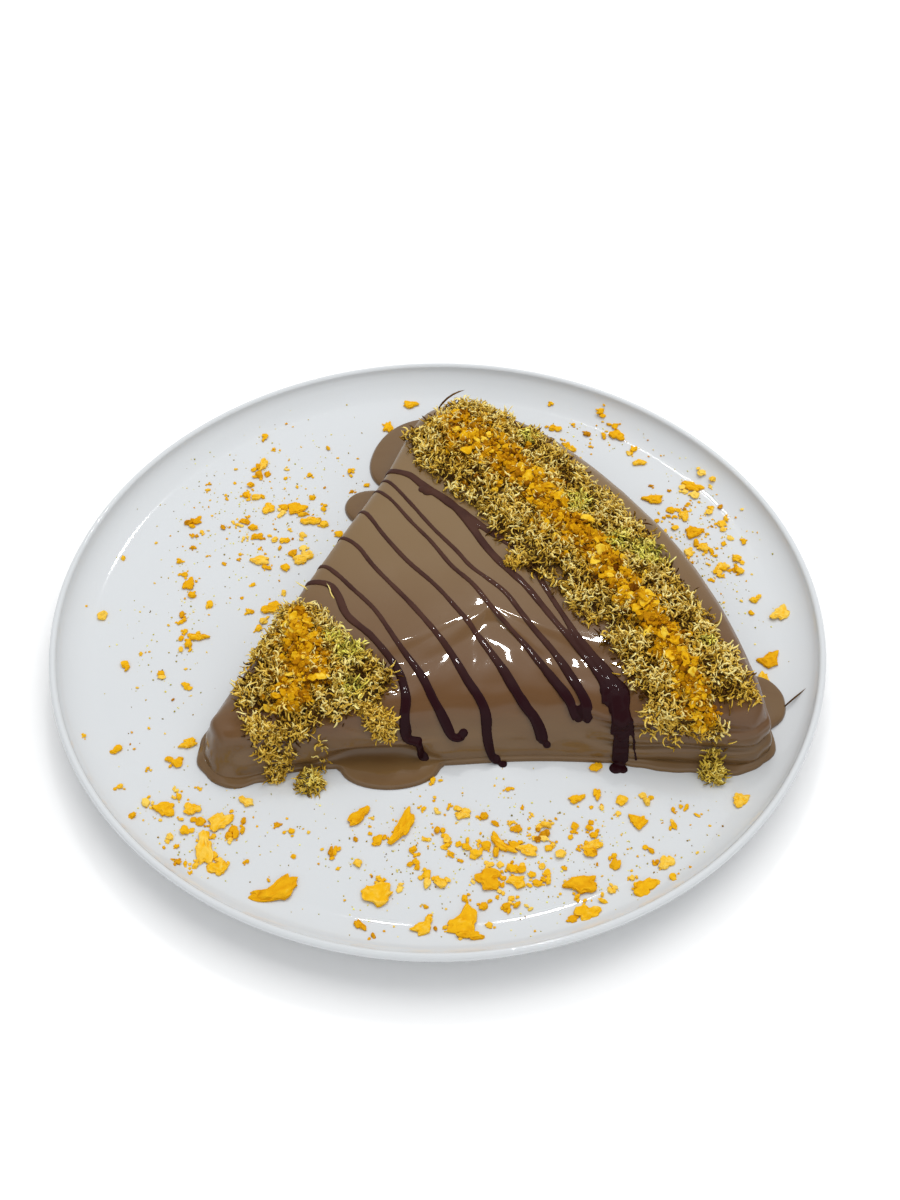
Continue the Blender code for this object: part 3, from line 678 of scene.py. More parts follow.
def makeDrizzle(ground, material):
    ring = flatRing("lineSection")
    parts = []
    for number, (route, thickness, drop) in enumerate(drizzleLines):
        parts.append(layLine("line%d" % number, route, thickness, ring, ground))
        drops.append((route[-1], drop * 1.1))
    for place, radius in drops:
        spot, normal = ground.hit(*place)
        ball = startPiece("drop", bpy.ops.mesh.primitive_uv_sphere_add, segments=16, ring_count=10,
                          radius=radius * mm, location=spot * mm, scale=(0.9, 0.9, 0.42),
                          rotation=normal.to_track_quat("Z", "Y").to_euler())
        bpy.ops.object.transform_apply(location=True, rotation=True, scale=True)
        parts.append(ball)
    bpy.data.objects.remove(ring)
    takeUp(parts[0])
    for part in parts:
        part.select_set(True)
    bpy.ops.object.join()
    piece = bpy.context.object
    piece.name = "drizzleLines"
    piece.data.name = "drizzleLines"
    applyModifier(piece, "REMESH", mode="VOXEL", voxel_size=drizzle["voxel"] * mm)
    applyModifier(piece, "SMOOTH", factor=0.5, iterations=5)
    closeSeams(piece)
    settle(piece, material, ["crepe"])
    return piece


def darkFinish():
    f = Finish("darkChocolate")
    # Painted sheen: lighter over the top, where the glossy lines reflect the bright room, darker towards the
    # front.
    front = (0 - f.axis(1)).step(10, 48)
    colour = f.mix(front, drizzle["thin"], drizzle["dark"])
    colour = f.mix(0.35 * f.cloud(9, 2).step(0.4, 0.7), colour, drizzle["dark"])
    rough = 0.32 + 0.12 * f.cloud(6, 2)
    return f.surface(BaseColor=colour, Roughness=rough, Normal=f.bump(f.cloud(2.5, 2), 0.03),
                     CoatWeight=0.12, CoatRoughness=0.03, SpecularIORLevel=0.04)


# Heaps of shreds

# The rims run from the far end to the near one. The streak of crumbs is given by its place
# along the heap, its middle across it and its half width as a share of the heap's. Bare
# spots and lime spots have a place in plan and a radius.
heaps = {
    "left": {
        "inner": [(-48, -5), (-36, -16), (-22, -29), (-13, -43), (-24, -52), (-40, -56),
                  (-50, -63.5)],
        "outer": [(-53.5, -7), (-61, -18), (-67.5, -32), (-70, -45), (-65, -54), (-63, -60.5),
                  (-57, -64.5)],
        "sections": 70, "strands": 3900, "parts": 1, "grains": 700, "chips": 36,
        "streak": [(0.10, 0.05, 0.20), (0.28, 0.12, 0.36), (0.58, 0.12, 0.36), (0.72, 0.15, 0.20)],
        "bare": [((-56, -52.5), 3.6), ((-62, -50), 3.0), ((-46, -54.5), 3.4), ((-49, -60), 2.4),
                 ((-66, -60), 3.2), ((-38, -55), 3.0), ((-27, -52), 3.0), ((-70, -24), 3.0)],
        "thin": [((-57, -57), 6.5), ((-52, -61), 5.0), ((-62, -51), 4.0)],
        "lime": [((-31, -30), 5.5), ((-29, -45), 4.5), ((-37, -24), 3.0)],
    },
    "right": {
        "inner": [(-13, 84), (-11, 71), (0, 52), (15, 36), (25, 16), (39, 2), (49, -13),
                  (59, -27), (64, -41), (69, -52), (80, -59)],
        "outer": [(3, 101), (18, 103), (33, 93), (46, 79), (59, 60), (69, 45), (78, 29),
                  (86, 8), (94, -12), (101, -28), (106, -42), (104, -52), (99, -60)],
        "sections": 190, "strands": 12600, "parts": 3, "grains": 2250, "chips": 130,
        "streak": [(0.07, 0.1, 0.26), (0.12, -0.02, 0.50), (0.22, 0.0, 0.40), (0.34, 0.0, 0.32),
                   (0.55, -0.02, 0.28), (0.75, -0.06, 0.26), (0.90, -0.10, 0.24), (0.97, 0.0, 0.34)],
        "bare": [((1, 95), 5.0), ((-7, 87), 3.4), ((0, 55), 4.5), ((12, 52), 3.4), ((-5, 62), 3.0),
                 ((27, 21), 4.0), ((43, 9), 4.4), ((40, 4), 2.5), ((59, -17), 4.6),
                 ((54, -10), 2.6), ((64, -36), 3.2), ((93, -53), 4.0), ((101, -54), 5.0),
                 ((108, -52), 6.0), ((98, 1), 3.5), ((107, -31), 3.6), ((76, 43), 3.0), ((85, 22), 2.6)],
        "thin": [((97, -55), 4.0)],
        "lime": [((52, 41), 6.0), ((65, 19), 5.0), ((77, 14), 7.0), ((34, 78), 4.0), ((92, -30), 3.5)],
    },
}
shred = {
    "depth": 3.4, "sink": 1.5, "room": 3.0, "length": (2.1, 4.6), "radius": (0.22, 0.43),
    "curl": (2.0, 5.2), "lean": (0.6, 1.6), "shape": (0.8, 1.0, 1.0, 0.9, 0.7), "share": 0.84,
    "valley": (7.5, 0.0, 0.42), "tries": 12000, "thinned": 0.72,
    "stops": [(0.0, (0.075, 0.029, 0.003)), (0.2, (0.27, 0.14, 0.010)), (0.42, (0.60, 0.36, 0.032)),
              (0.7, (0.88, 0.61, 0.10)), (1.0, (0.98, 0.84, 0.34))],
    # lime is a real colour; the two after it are painted shade for the heap's core, the first also the shaded
    # end of the rust patches.
    "lime": (0.86, 0.82, 0.12), "deep": (0.040, 0.017, 0.006), "brown": (0.17, 0.095, 0.018),
    "rust": (0.62, 0.40, 0.06),
}


def heapPoints(heap, around, across):
    # Around runs from the far end to the near one, across from the inner rim to the outer
    steps = 40
    rims = [evenLine(heap[side], steps) for side in ("inner", "outer")]
    place = np.clip(around, 0, 1) * (steps - 1)
    sides = [np.stack([np.interp(place, np.arange(steps), rim[:, k]) for k in (0, 1)], 1)
             for rim in rims]
    share = ((across + 1) / 2)[:, None]
    return sides[0] * (1 - share) + sides[1] * share


def nearSpots(plan, spots):
    # 1 at the middle of the nearest spot, falling to 0 just past its edge
    nearest = np.zeros(len(plan))
    for centre, radius in spots:
        away = np.linalg.norm(plan - np.array(centre), axis=1) / radius
        nearest = np.maximum(nearest, 1 - smoothStep(away, 0.6, 1.25))
    return nearest


def heapCore(name, heap, ground, depth, middles, widths, ends, relief):
    # A long uneven dome, as rings joined end to end and closed at both ends
    above = np.linspace(-1, 1, 27)
    below = np.array([0.6, 0, -0.6])
    top = len(above)
    rings = []
    for along in np.linspace(0, 1, heap["sections"]):
        around = ends[0] + (ends[1] - ends[0]) * along
        taper = 1 - 0.6 * max(0.0, 2 * abs(along - 0.5) - 0.8) / 0.2
        across = np.r_[above, below] * np.interp(around, *widths) + np.interp(around, *middles)
        plan = heapPoints(heap, np.full(len(across), around), across)
        places, _ = ground.hits(plan)
        height = places[:, 2]
        dome = np.sqrt(np.maximum(0, 1 - above ** 2))
        lumps = 1 + 0.5 * bumps(plan[:top], 6.25, 48)
        rough = relief * bumps(plan[:top], 1.6, 9)
        thick = depth * dome * lumps * taper + rough * dome
        gone = nearSpots(plan[:top], heap["bare"] + heap["thin"])
        height[:top] += thick - (thick + shred["sink"]) * gone
        height[top:] -= shred["sink"] * 1.6
        height[[0, top - 1]] -= shred["sink"]
        rings.append(np.c_[plan, height])
    rings = np.array(rings)
    first, last = rings[:1].mean(1, keepdims=True), rings[-1:].mean(1, keepdims=True)
    closing = [np.repeat(first, rings.shape[1], 1), rings, np.repeat(last, rings.shape[1], 1)]
    return gridPiece(name, np.concatenate(closing))


def crossFrame(normals):
    # Two directions square to each normal
    helper = np.where(np.abs(normals[:, 2:]) < 0.9, [[0.0, 0.0, 1.0]], [[1.0, 0.0, 0.0]])
    first = np.cross(normals, helper)
    first /= np.linalg.norm(first, axis=1)[:, None]
    return first, np.cross(normals, first)


def turned(vectors, axes, angles):
    cosine, sine = np.cos(angles)[:, None], np.sin(angles)[:, None]
    along = (vectors * axes).sum(1)[:, None] * axes
    return along + (vectors - along) * cosine + np.cross(axes, vectors) * sine


def strandMesh(name, starts, normals, tones, limes, draw, length=shred["length"], lean=shred["lean"],
               curl=shred["curl"], radius=shred["radius"]):
    # Curled three-sided strands that end in a point, each with its own length, lean and curl
    count = len(starts)
    lengths = draw.uniform(*length, count)
    first, second = crossFrame(normals)
    spin = draw.uniform(0, 2 * math.pi, count)[:, None]
    tilt = draw.uniform(*lean, count)[:, None]
    heading = normals * np.cos(tilt) + (first * np.cos(spin) + second * np.sin(spin)) * np.sin(tilt)
    axes = draw.normal(size=(count, 3))
    axes /= np.linalg.norm(axes, axis=1)[:, None]
    segments = len(shred["shape"])
    bend = draw.uniform(*curl, count) / segments
    flips = np.where(draw.uniform(0, 1, count) < 0.4, -1, 1)
    thick = draw.uniform(*radius, count)
    here = starts.copy()
    # Each strand lightens from root to tip: painted light on the tips and shade at the roots.
    rings, ringTones = [], []
    for k, share in enumerate(shred["shape"]):
        side = np.cross(heading, axes)
        side /= np.maximum(np.linalg.norm(side, axis=1)[:, None], 1e-6)
        rise = np.cross(side, heading)
        for corner in (0, 1, 2):
            turn = 2 * math.pi * corner / 3
            offset = side * math.cos(turn) * 1.25 + rise * math.sin(turn) * 0.8
            rings.append(here + offset * (thick * share)[:, None])
            ringTones.append(tones + 0.16 * (k / segments - 0.5))
        here = here + heading * (lengths / segments)[:, None]
        heading = turned(heading, axes, bend if k < 2 else bend * flips)
    rings.append(here)
    ringTones.append(tones + 0.1)
    vertices = np.stack(rings, 1).reshape(-1, 3)
    block = 3 * segments + 1
    base = (np.arange(count) * block)[:, None, None]
    quads = [[3 * k + c, 3 * k + (c + 1) % 3, 3 * k + 3 + (c + 1) % 3, 3 * k + 3 + c]
             for k in range(segments - 1) for c in range(3)]
    sides = (base + np.array(quads)[None]).reshape(-1, 4).tolist()
    last = block - 4
    tips = [[0, 2, 1]] + [[last + c, last + (c + 1) % 3, block - 1] for c in range(3)]
    ends = (base + np.array(tips)[None]).reshape(-1, 3).tolist()
    piece = meshPiece(name, vertices, sides + ends, smooth=True)
    addTone(piece, np.stack(ringTones, 1).ravel())
    addTone(piece, np.repeat(limes, block), "lime")
    return piece


def valleys(plan):
    # 1 in the low gaps between the clumps, 0 on them
    size, low, high = shred["valley"]
    return smoothStep(-bumps(plan, size, 21), low, high)


def tuftCentres(heap, draw):
    # Darts that keep their distance, so that tufts cover the heap evenly and leave bare spots
    tries = shred["tries"]
    reach = shred["share"] + 0.03
    plan = heapPoints(heap, draw.uniform(0.01, 0.99, tries), draw.uniform(-reach, reach, tries))
    plan = plan[nearSpots(plan, heap["bare"]) < draw.uniform(0.15, 0.7, tries)]
    kept = np.empty((0, 2))
    for place in plan[valleys(plan) < draw.uniform(0.3, 1.4, len(plan))]:
        if len(kept) == 0 or np.linalg.norm(kept - place, axis=1).min() > shred["room"]:
            kept = np.vstack([kept, place])
    return kept


def makeShreds(side, ground, core, material):
    heap = heaps[side]
    draw = np.random.default_rng(seeds["shreds"])
    centres = tuftCentres(heap, draw)
    parent = draw.integers(0, len(centres), heap["strands"])
    offset = draw.normal(0, 0.5 * shred["room"], (heap["strands"], 2))
    plan = centres[parent] + offset
    kept = draw.uniform(0, 1, len(plan)) > shred["thinned"] * nearSpots(plan, heap["thin"])
    parent, offset, plan = parent[kept], offset[kept], plan[kept]
    away = np.linalg.norm(offset, axis=1) / shred["room"]
    mound = 1 - smoothStep(away, 0, 1.15)
    low, lowNormals = ground.hits(plan)
    places, normals = Ground(core).hits(plan)
    bare = places[:, 2] < low[:, 2]
    places[bare], normals[bare] = low[bare], lowNormals[bare]
    height = draw.uniform(0.5, 1.3, len(centres))[parent]
    layer = draw.uniform(0, 1, len(plan))
    gap = valleys(plan)
    lift = -0.5 + layer * (0.6 + 2.3 * mound * height) * (1 - 0.7 * gap) + 0.7 * (1 - gap)
    places = places + normals * lift[:, None]
    facing = normals + 0.8 * np.c_[offset / shred["room"], np.zeros(len(plan))]
    facing /= np.linalg.norm(facing, axis=1)[:, None]
    own = draw.normal(0, 0.10, len(centres))[parent]
    own = own + 0.20 * bumps(plan, 13, 33)
    # Partly painted shade: strands high in a tuft and on its mound are lighter, those in the gaps between
    # clumps darker; own and the noise are the shreds' real spread of colour.
    tones = 0.92 * layer + 0.36 * mound - 0.42 * gap - 0.14 + own + draw.normal(0, 0.15, len(plan))
    limes = nearSpots(plan, heap["lime"]) * draw.uniform(0.2, 1.0, len(plan))
    for part in range(heap["parts"]):
        chosen = np.arange(len(plan)) % heap["parts"] == part
        name = "shreds%s%s" % (side.title(), "ABC"[part] if heap["parts"] > 1 else "")
        piece = strandMesh(name, places[chosen], facing[chosen], tones[chosen], limes[chosen], draw)
        settle(piece, material, ["shreds_" + side])


# Tufts that lie apart from the heaps: place in plan, radius, height and number of strands
tufts = [((-19.5, -55), 3.6, 2.4, 150), ((-16.5, -56.5), 3.0, 2.0, 90), ((-23, -53.5), 2.6, 1.5, 60),
         ((-57, -60.5), 4.0, 2.2, 150), ((-51.5, -62), 3.4, 1.8, 100), ((-47, -58), 2.6, 1.4, 50),
         ((-61, -57), 3.2, 1.8, 90), ((-55, -66), 3.2, 1.8, 90), ((-43, -69.5), 4.6, 4.0, 190),
         ((-39, -62), 1.8, 1.0, 22), ((93.5, -66), 4.4, 4.4, 200), ((30, 15.5), 4.0, 2.4, 120),
         ((27, 12.5), 2.5, 1.6, 50), ((73, -55), 4.0, 2.0, 100), ((80, -56.5), 4.0, 2.0, 90),
         ((88, -57), 3.6, 2.2, 80), ((92, -60), 3.0, 1.5, 50), ((105, -50), 3.4, 1.8, 80)]
# Single stems and stray shreds: both ends in plan, how far the far end rises, tone and radius
stems = [((0, 101), (8, 112), 4.0, 0.02, (0.42, 0.46)),
         ((122, -38), (131, -31), 3.0, 0.02, (0.42, 0.46)),
         ((96, -21), (102, -17), 1.5, 0.9, (0.26, 0.3)),
         ((-37, -3), (-41, 3), 1.0, 0.9, (0.26, 0.3)),
         ((-47, 2), (-51, 5), 2.5, 0.9, (0.26, 0.3))]


def makeTufts(ground, material):
    draw = np.random.default_rng(seeds["tufts"])
    starts, normals, tones = [], [], []
    for centre, radius, height, count in tufts:
        reach = radius * np.sqrt(draw.uniform(0, 1, count))
        turn = draw.uniform(0, 2 * math.pi, count)
        plan = np.array(centre) + np.stack([reach * np.cos(turn), reach * np.sin(turn)], 1)
        places, facing = ground.hits(plan)
        up = height * np.sqrt(np.maximum(0, 1 - (reach / radius) ** 2)) * draw.uniform(0, 1, count)
        starts.append(places + facing * up[:, None])
        away = np.c_[np.cos(turn), np.sin(turn), np.ones(count)] + facing
        normals.append(away / np.linalg.norm(away, axis=1)[:, None])
        # Painted shade: strands low in a tuft are darker, the higher ones lighter.
        tones.append(0.38 + 0.45 * up / height + draw.normal(0, 0.14, count))
    starts, normals, tones = (np.concatenate(part) for part in (starts, normals, tones))
    limes = 0.25 * nearSpots(starts[:, :2], [((93.5, -66), 6), ((-43, -69.5), 4)])
    piece = strandMesh("shredTufts", starts, normals, tones, limes, draw, length=(2.0, 4.0))
    settle(piece, material)


def makeStems(ground, material):
    # Thin bare stems that stick out of the heaps
    draw = np.random.default_rng(seeds["stems"])
    for number, (near, far, rise, tone, radius) in enumerate(stems, 1):
        base, _ = ground.hit(*near)
        step = Vector((far[0] - near[0], far[1] - near[1], rise))
        piece = strandMesh("stem%d" % number, np.array([base]), np.array([step.normalized()]),
                           np.array([tone]), np.zeros(1), draw, length=(step.length, step.length),
                           lean=(0, 0), curl=(0.9, 1.3), radius=radius)
        settle(piece, material)


def shredFinish():
    f = Finish("driedShreds")
    # The tone carries the strands' painted shade; the lime and rust patches follow it.
    tone = (f.tone() + 0.14 * (f.cloud(2.2, 2) - 0.5)).clamped()
    colour = f.ramp(tone, shred["stops"])
    lime = f.mix(tone, tuple(c * 0.35 for c in shred["lime"]), tuple(c * 1.15 for c in shred["lime"]))
    colour = f.mix(f.tone("lime"), colour, lime)
    rust = 0.5 * f.cloud(7, 2).step(0.56, 0.7)
    colour = f.mix(rust, colour, f.mix(tone, shred["deep"], shred["rust"]))
    return f.surface(BaseColor=colour, Roughness=0.8, SpecularIORLevel=0.15)


def coreFinish(name, stops, size):
    # The core's dark colours are painted shade of the heap's inner gaps.
    f = Finish(name)
    tone = f.cloud(size, 4, 0.7)
    bump = f.bump(f.cloud(size * 0.5, 3, 0.7), 0.5)
    return f.surface(BaseColor=f.ramp(tone, stops), Roughness=0.85, Normal=bump, SpecularIORLevel=0.15)


# Crumbs

crumb = {
    "depth": 2.2, "size": (1.1, 3.4), "chip": (2.8, 5.2), "tumble": 0.8,
    "lobes": ((2, 0.14), (3, 0.16), (5, 0.12), (8, 0.08), (13, 0.06)),
    "stops": [(0.0, (0.15, 0.046, 0.001)), (0.25, (0.39, 0.155, 0.002)), (0.5, (0.59, 0.285, 0.003)),
              (0.75, (0.75, 0.42, 0.007)), (1.0, (0.87, 0.61, 0.06))],
    "fallen": [(0.0, (0.42, 0.155, 0.003)), (0.3, (0.72, 0.34, 0.005)), (0.65, (0.84, 0.46, 0.010)),
               (1.0, (0.90, 0.62, 0.11))],
    # Painted shade colours for the dark core under the crumbs.
    "deep": (0.10, 0.034, 0.003), "brown": (0.36, 0.15, 0.004),
}


def lumpTemplate(rounds):
    ball = startPiece("lump", bpy.ops.mesh.primitive_ico_sphere_add, subdivisions=rounds, radius=1)
    corners = np.array([v.co for v in ball.data.vertices])
    faces = np.array([tuple(p.vertices) for p in ball.data.polygons])
    bpy.data.objects.remove(ball)
    return corners, faces


def leaned(shapes, lean, turn):
    # Each shape tipped over along its length, then turned about the upright
    x, y, z = shapes[..., 0], shapes[..., 1], shapes[..., 2]
    c, s = np.cos(lean)[:, None], np.sin(lean)[:, None]
    x, z = x * c + z * s, z * c - x * s
    c, s = np.cos(turn)[:, None], np.sin(turn)[:, None]
    return np.stack([x * c - y * s, x * s + y * c, z], 2)


def lumpMesh(name, places, sizes, tones, draw, flat=(0.45, 0.9), rounds=2, rough=0.3, tumble=0.2):
    # Angular lumps, each stretched, turned, tipped and dented in its own way
    corners, faces = lumpTemplate(rounds)
    count, around = len(places), len(corners)
    dents = 1 + draw.uniform(-rough, rough, (count, around, 1))
    stretch = np.stack([np.ones(count), draw.uniform(0.5, 1.0, count), draw.uniform(*flat, count)], 1)
    shapes = corners[None] * dents * (sizes[:, None] * stretch / 2)[:, None]
    lean = draw.normal(0, tumble, count)
    turn = draw.uniform(0, 2 * math.pi, count)
    shapes = leaned(shapes, lean, turn) + places[:, None]
    whole = (np.arange(count) * around)[:, None, None] + faces[None]
    piece = meshPiece(name, shapes.reshape(-1, 3), whole.reshape(-1, 3).tolist())
    spread = tones[:, None] + draw.normal(0, 0.05, (count, around))
    addTone(piece, spread.ravel())
    return piece


def flakeMesh(name, flakes, draw, rounds):
    # Thin ragged flakes with grainy faces. Each gives its place, size, turn in degrees,
    # slimness, thickness, bend, lean and tone.
    corners, faces = lumpTemplate(rounds)
    angle = np.arctan2(corners[:, 1], corners[:, 0])
    upright = np.sign(corners[:, 2]) * np.abs(corners[:, 2]) ** 0.6
    shapes, tones = [], []
    for place, size, degrees, slim, thick, bend, lean, tone in flakes:
        phase = draw.uniform(0, 2 * math.pi, 5)
        lobes = 1 + sum(weight * np.sin(waves * angle + start)
                        for (waves, weight), start in zip(crumb["lobes"], phase))
        lobes = lobes + draw.uniform(-0.05, 0.05, len(corners))
        grain = np.array([noise.noise(Vector(c) * size / 1.3 + Vector(phase[:3])) for c in corners])
        shape = corners * np.stack([lobes, lobes * slim, np.ones(len(corners))], 1) * size / 2
        shape[:, 2] = thick * (0.5 * upright + 0.38 * grain)
        shape[:, 1] += bend * shape[:, 0] ** 2 / size
        shape = leaned(shape[None], np.array([lean]), np.array([math.radians(degrees)]))[0]
        shapes.append(shape + np.array(place))
        tones.append(tone + 0.35 * grain + draw.normal(0, 0.04, len(corners)))
    whole = (np.arange(len(shapes)) * len(corners))[:, None, None] + faces[None]
    piece = meshPiece(name, np.concatenate(shapes), whole.reshape(-1, 3).tolist())
    addTone(piece, np.concatenate(tones))
    return piece


def makeCrumbs(side, over, material):
    heap = heaps[side]
    draw = np.random.default_rng(seeds["crumbs"])
    places, middles, halves = np.array(heap["streak"]).T

    def streakPlaces(count, spread):
        around = draw.uniform(places[0] - 0.02, places[-1] + 0.02, count)
        across = np.interp(around, places, middles)
        across += np.interp(around, places, halves) * np.clip(draw.normal(0, spread, count), -2.2, 2.2)
        return heapPoints(heap, around, np.clip(across, -0.95, 0.95))

    plan = streakPlaces(heap["grains"], 0.62)
    draws = draw.uniform(0, 1, len(plan)) ** 1.5
    sizes = draws * (crumb["size"][1] - crumb["size"][0]) + crumb["size"][0]
    spots, normals = over.hits(plan)
    clump = bumps(plan, 4, 4)
    lift = sizes * 0.10 + np.maximum(clump, 0) * 1.3 + draw.uniform(0, 0.7, len(plan))
    # Partly painted shade: the noise that lifts a crumb onto a clump also lightens it, so crumbs between
    # clumps are darker; the rest is random crumb colour.
    tones = 0.41 + 0.34 * clump + 0.14 * bumps(plan, 14, 8) + draw.normal(0, 0.19, len(plan))
    piece = lumpMesh("crumbs" + side.title(), spots + normals * lift[:, None], sizes, tones, draw,
                     flat=(0.28, 0.8), rough=0.42, tumble=crumb["tumble"])
    settle(piece, material, ["crumbs_" + side])
    plan = streakPlaces(heap["chips"], 0.55)
    spots, normals = over.hits(plan)
    thin = [(spot + normal * draw.uniform(0.6, 2.0), draw.uniform(*crumb["chip"]), draw.uniform(0, 360),
             draw.uniform(0.5, 0.95), 0.7, draw.uniform(-0.3, 0.3), draw.normal(0, 0.5),
             draw.uniform(0.45, 0.95)) for spot, normal in zip(spots, normals)]
    chips = flakeMesh("chips" + side.title(), thin, draw, 2)
    settle(chips, material, ["crumbs_" + side])


def crumbFinish(name, stops):
    f = Finish(name)
    tone = (f.tone() + 0.35 * (f.cloud(0.9, 3, 0.7) - 0.5)).clamped()
    bump = f.bump(f.cloud(0.5, 2), 0.14)
    return f.surface(BaseColor=f.ramp(tone, stops), Roughness=0.75, Normal=bump,
                     SpecularIORLevel=0.06)


# What lies on the plate

# The largest flakes: place in plan, size, turn in degrees, slimness and bend
flakes = [
    ((-51, -112), 17, 25, 0.5, 0.5), ((-11, -87), 15, 62, 0.42, 0.1), ((-76, -96), 13, 95, 0.55, 0.1),
    ((-19, -113), 12, -10, 0.7, 0.6), ((47, -109), 12, 15, 0.6, 0.0), ((9, -123), 12, 40, 0.8, 0.3),
    ((21, -94), 11, -45, 0.35, 0.4), ((-26, -83), 10, 55, 0.5, 0.1), ((-72, -85), 9, 60, 0.85, 0.0),
    ((17, -107), 10, 0, 0.85, 0.0), ((67, -111), 9, 30, 0.8, 0.2), ((48, -120), 9, 10, 0.75, 0.0),
    ((-91, -80), 8, 0, 0.8, 0.1), ((26, -108), 7, 0, 0.7, 0.0), ((30, -96), 8, 0, 0.6, 0.0),
    ((75, -101), 7, 60, 0.7, 0.3), ((67, -85), 7, 0, 0.8, 0.2), ((-71, -103), 7, 30, 0.9, 0.0),
    ((52, -94), 6, 30, 0.7, 0.0), ((101, 73), 9, -20, 0.6, 0.1), ((99, 48), 8, -10, 0.8, 0.2),
    ((127, 6), 9, 60, 0.7, 0.3), ((-56, 61), 8, 50, 0.9, 0.0), ((-62, 9), 9, 15, 0.6, 0.1),
    ((-68, 33), 9, -5, 0.5, 0.1), ((-86, -53), 7, 10, 0.6, 0.0), ((-88, -5), 8, -5, 0.45, 0.0),
    ((102, -77), 7, 0, 0.8, 0.5), ((120, -16), 9, 30, 0.8, 0.3), ((81, 87), 6, 0, 0.6, 0.0),
    ((-21, 108), 7, 80, 0.6, 0.1), ((-94, 21), 6, 60, 0.9, 0.0), ((-82, -80), 6, 0, 0.95, 0.0),
    ((-64, -77), 6, -40, 0.6, 0.0), ((11, -128), 9, -5, 0.4, 0.1), ((-4, -125), 8, 40, 0.6, 0.4),
    ((85, 66), 9, 10, 0.55, 0.2), ((96, 57), 6, -60, 0.7, 0.0), ((102, 40), 6, 0, 0.7, 0.0),
    ((73, 103), 7, -20, 0.9, 0.0), ((-71, 86), 7, 75, 0.6, 0.0), ((-67, 61), 6, 0, 0.95, 0.0),
    ((-50, 54), 9, 10, 0.5, 0.2), ((-52, 34), 8, 20, 0.7, 0.0), ((-12, 122), 8, 5, 0.5, 0.2),
    ((116, -25), 8, 40, 0.6, 0.2), ((108, 30), 6, 30, 0.7, 0.0), ((-24, -124), 5, -40, 0.6, 0.0),
    ((9, -82), 6, 20, 0.7, 0.0), ((47, -76), 6, 10, 0.6, 0.2), ((54, -74), 5, 80, 0.6, 0.0),
]
# Where the crumbs fell: centre, half sizes and share of them
fallen = [((24, -98), (58, 22), 0.36), ((100, 38), (17, 44), 0.22), ((-66, 60), (34, 42), 0.20),
          ((-78, -88), (26, 20), 0.08), ((-98, -8), (20, 45), 0.07), ((60, 104), (34, 14), 0.07)]
scatter = {"clusters": 600, "specks": 1500, "size": (0.8, 4.0), "speck": (0.25, 0.8), "wander": 0.62,
           "edge": 133}


def onPlate(count, draw, outline, room):
    # Places on the plate's floor, clear of the crepe and its pools
    picked = []
    shares = np.array([region[2] for region in fallen])
    while len(picked) < count:
        centre, half, _ = fallen[draw.choice(len(fallen), p=shares / shares.sum())]
        point = np.array(centre) + draw.normal(0, scatter["wander"], 2) * half
        if np.linalg.norm(point) > scatter["edge"]:
            continue
        nearest = np.linalg.norm(outline - point, axis=1).argmin()
        gap = edgeDistance(point[None], outline)[0]
        if insideOutline(point, outline) or gap < poolSpread(outline[nearest][None])[0] + room:
            continue
        picked.append(point)
    return np.array(picked)


def insideOutline(point, outline):
    ahead = np.roll(outline, -1, axis=0)
    crosses = (outline[:, 1] > point[1]) != (ahead[:, 1] > point[1])
    rise = np.where(crosses, ahead[:, 1] - outline[:, 1], 1)
    meets = outline[:, 0] + (ahead[:, 0] - outline[:, 0]) * (point[1] - outline[:, 1]) / rise
    return (crosses & (point[0] < meets)).sum() % 2 == 1


def makeFlakes(material):
    draw = np.random.default_rng(seeds["flakes"])
    laid = []
    for (x, y), size, turn, slim, bend in flakes:
        thick = 0.9 + 0.06 * size
        rest = float(wallHeight(math.hypot(x, y))) + 0.45 * thick
        laid.append(((x, y, rest), size * 0.86, turn, slim, thick, bend, 0.0, draw.uniform(0.35, 0.9)))
    piece = flakeMesh("plateFlakes", laid, draw, 3)
    settle(piece, material, ["plate"])


def makeScatter(material, speckMaterial):
    # Crumbs lie alone or a few together, and the larger ones gather the smaller
    draw = np.random.default_rng(seeds["scatter"])
    outline = crepeOutline(160)
    centres = onPlate(scatter["clusters"], draw, outline, 2.0)
    low, high = scatter["size"]
    plan, sizes, tones = [], [], []
    for centre in centres:
        size = low + (high - low) * draw.uniform(0, 1) ** 2.4
        tone = draw.normal(0.6, 0.2)
        for k in range(1 + int(draw.integers(0, 4) * (size > 1.4))):
            grain = size if k == 0 else size * draw.uniform(0.35, 0.8)
            step = 0 if k == 0 else size * draw.uniform(0.4, 0.9)
            turn = draw.uniform(0, 2 * math.pi)
            plan.append(centre + step * np.array([math.cos(turn), math.sin(turn)]))
            sizes.append(grain)
            tones.append(tone + draw.normal(0, 0.08))
    plan, sizes, tones = np.array(plan), np.array(sizes), np.array(tones)
    rest = wallHeight(np.linalg.norm(plan, axis=1)) + sizes * 0.16
    piece = lumpMesh("plateCrumbs", np.c_[plan, rest], sizes, tones, draw, flat=(0.28, 0.6), tumble=0.12)
    settle(piece, material)
    plan = onPlate(scatter["specks"], draw, outline, 0.4)
    sizes = draw.uniform(*scatter["speck"], len(plan))
    rest = wallHeight(np.linalg.norm(plan, axis=1)) + sizes * 0.2
    tones = draw.uniform(0.1, 1.0, len(plan))
    specks = lumpMesh("plateSpecks", np.c_[plan, rest], sizes, tones, draw, rounds=1)
    addTone(specks, np.repeat(draw.uniform(0, 0.9, len(plan)), 12), "lime")
    settle(specks, speckMaterial)


# Stage, lights and camera

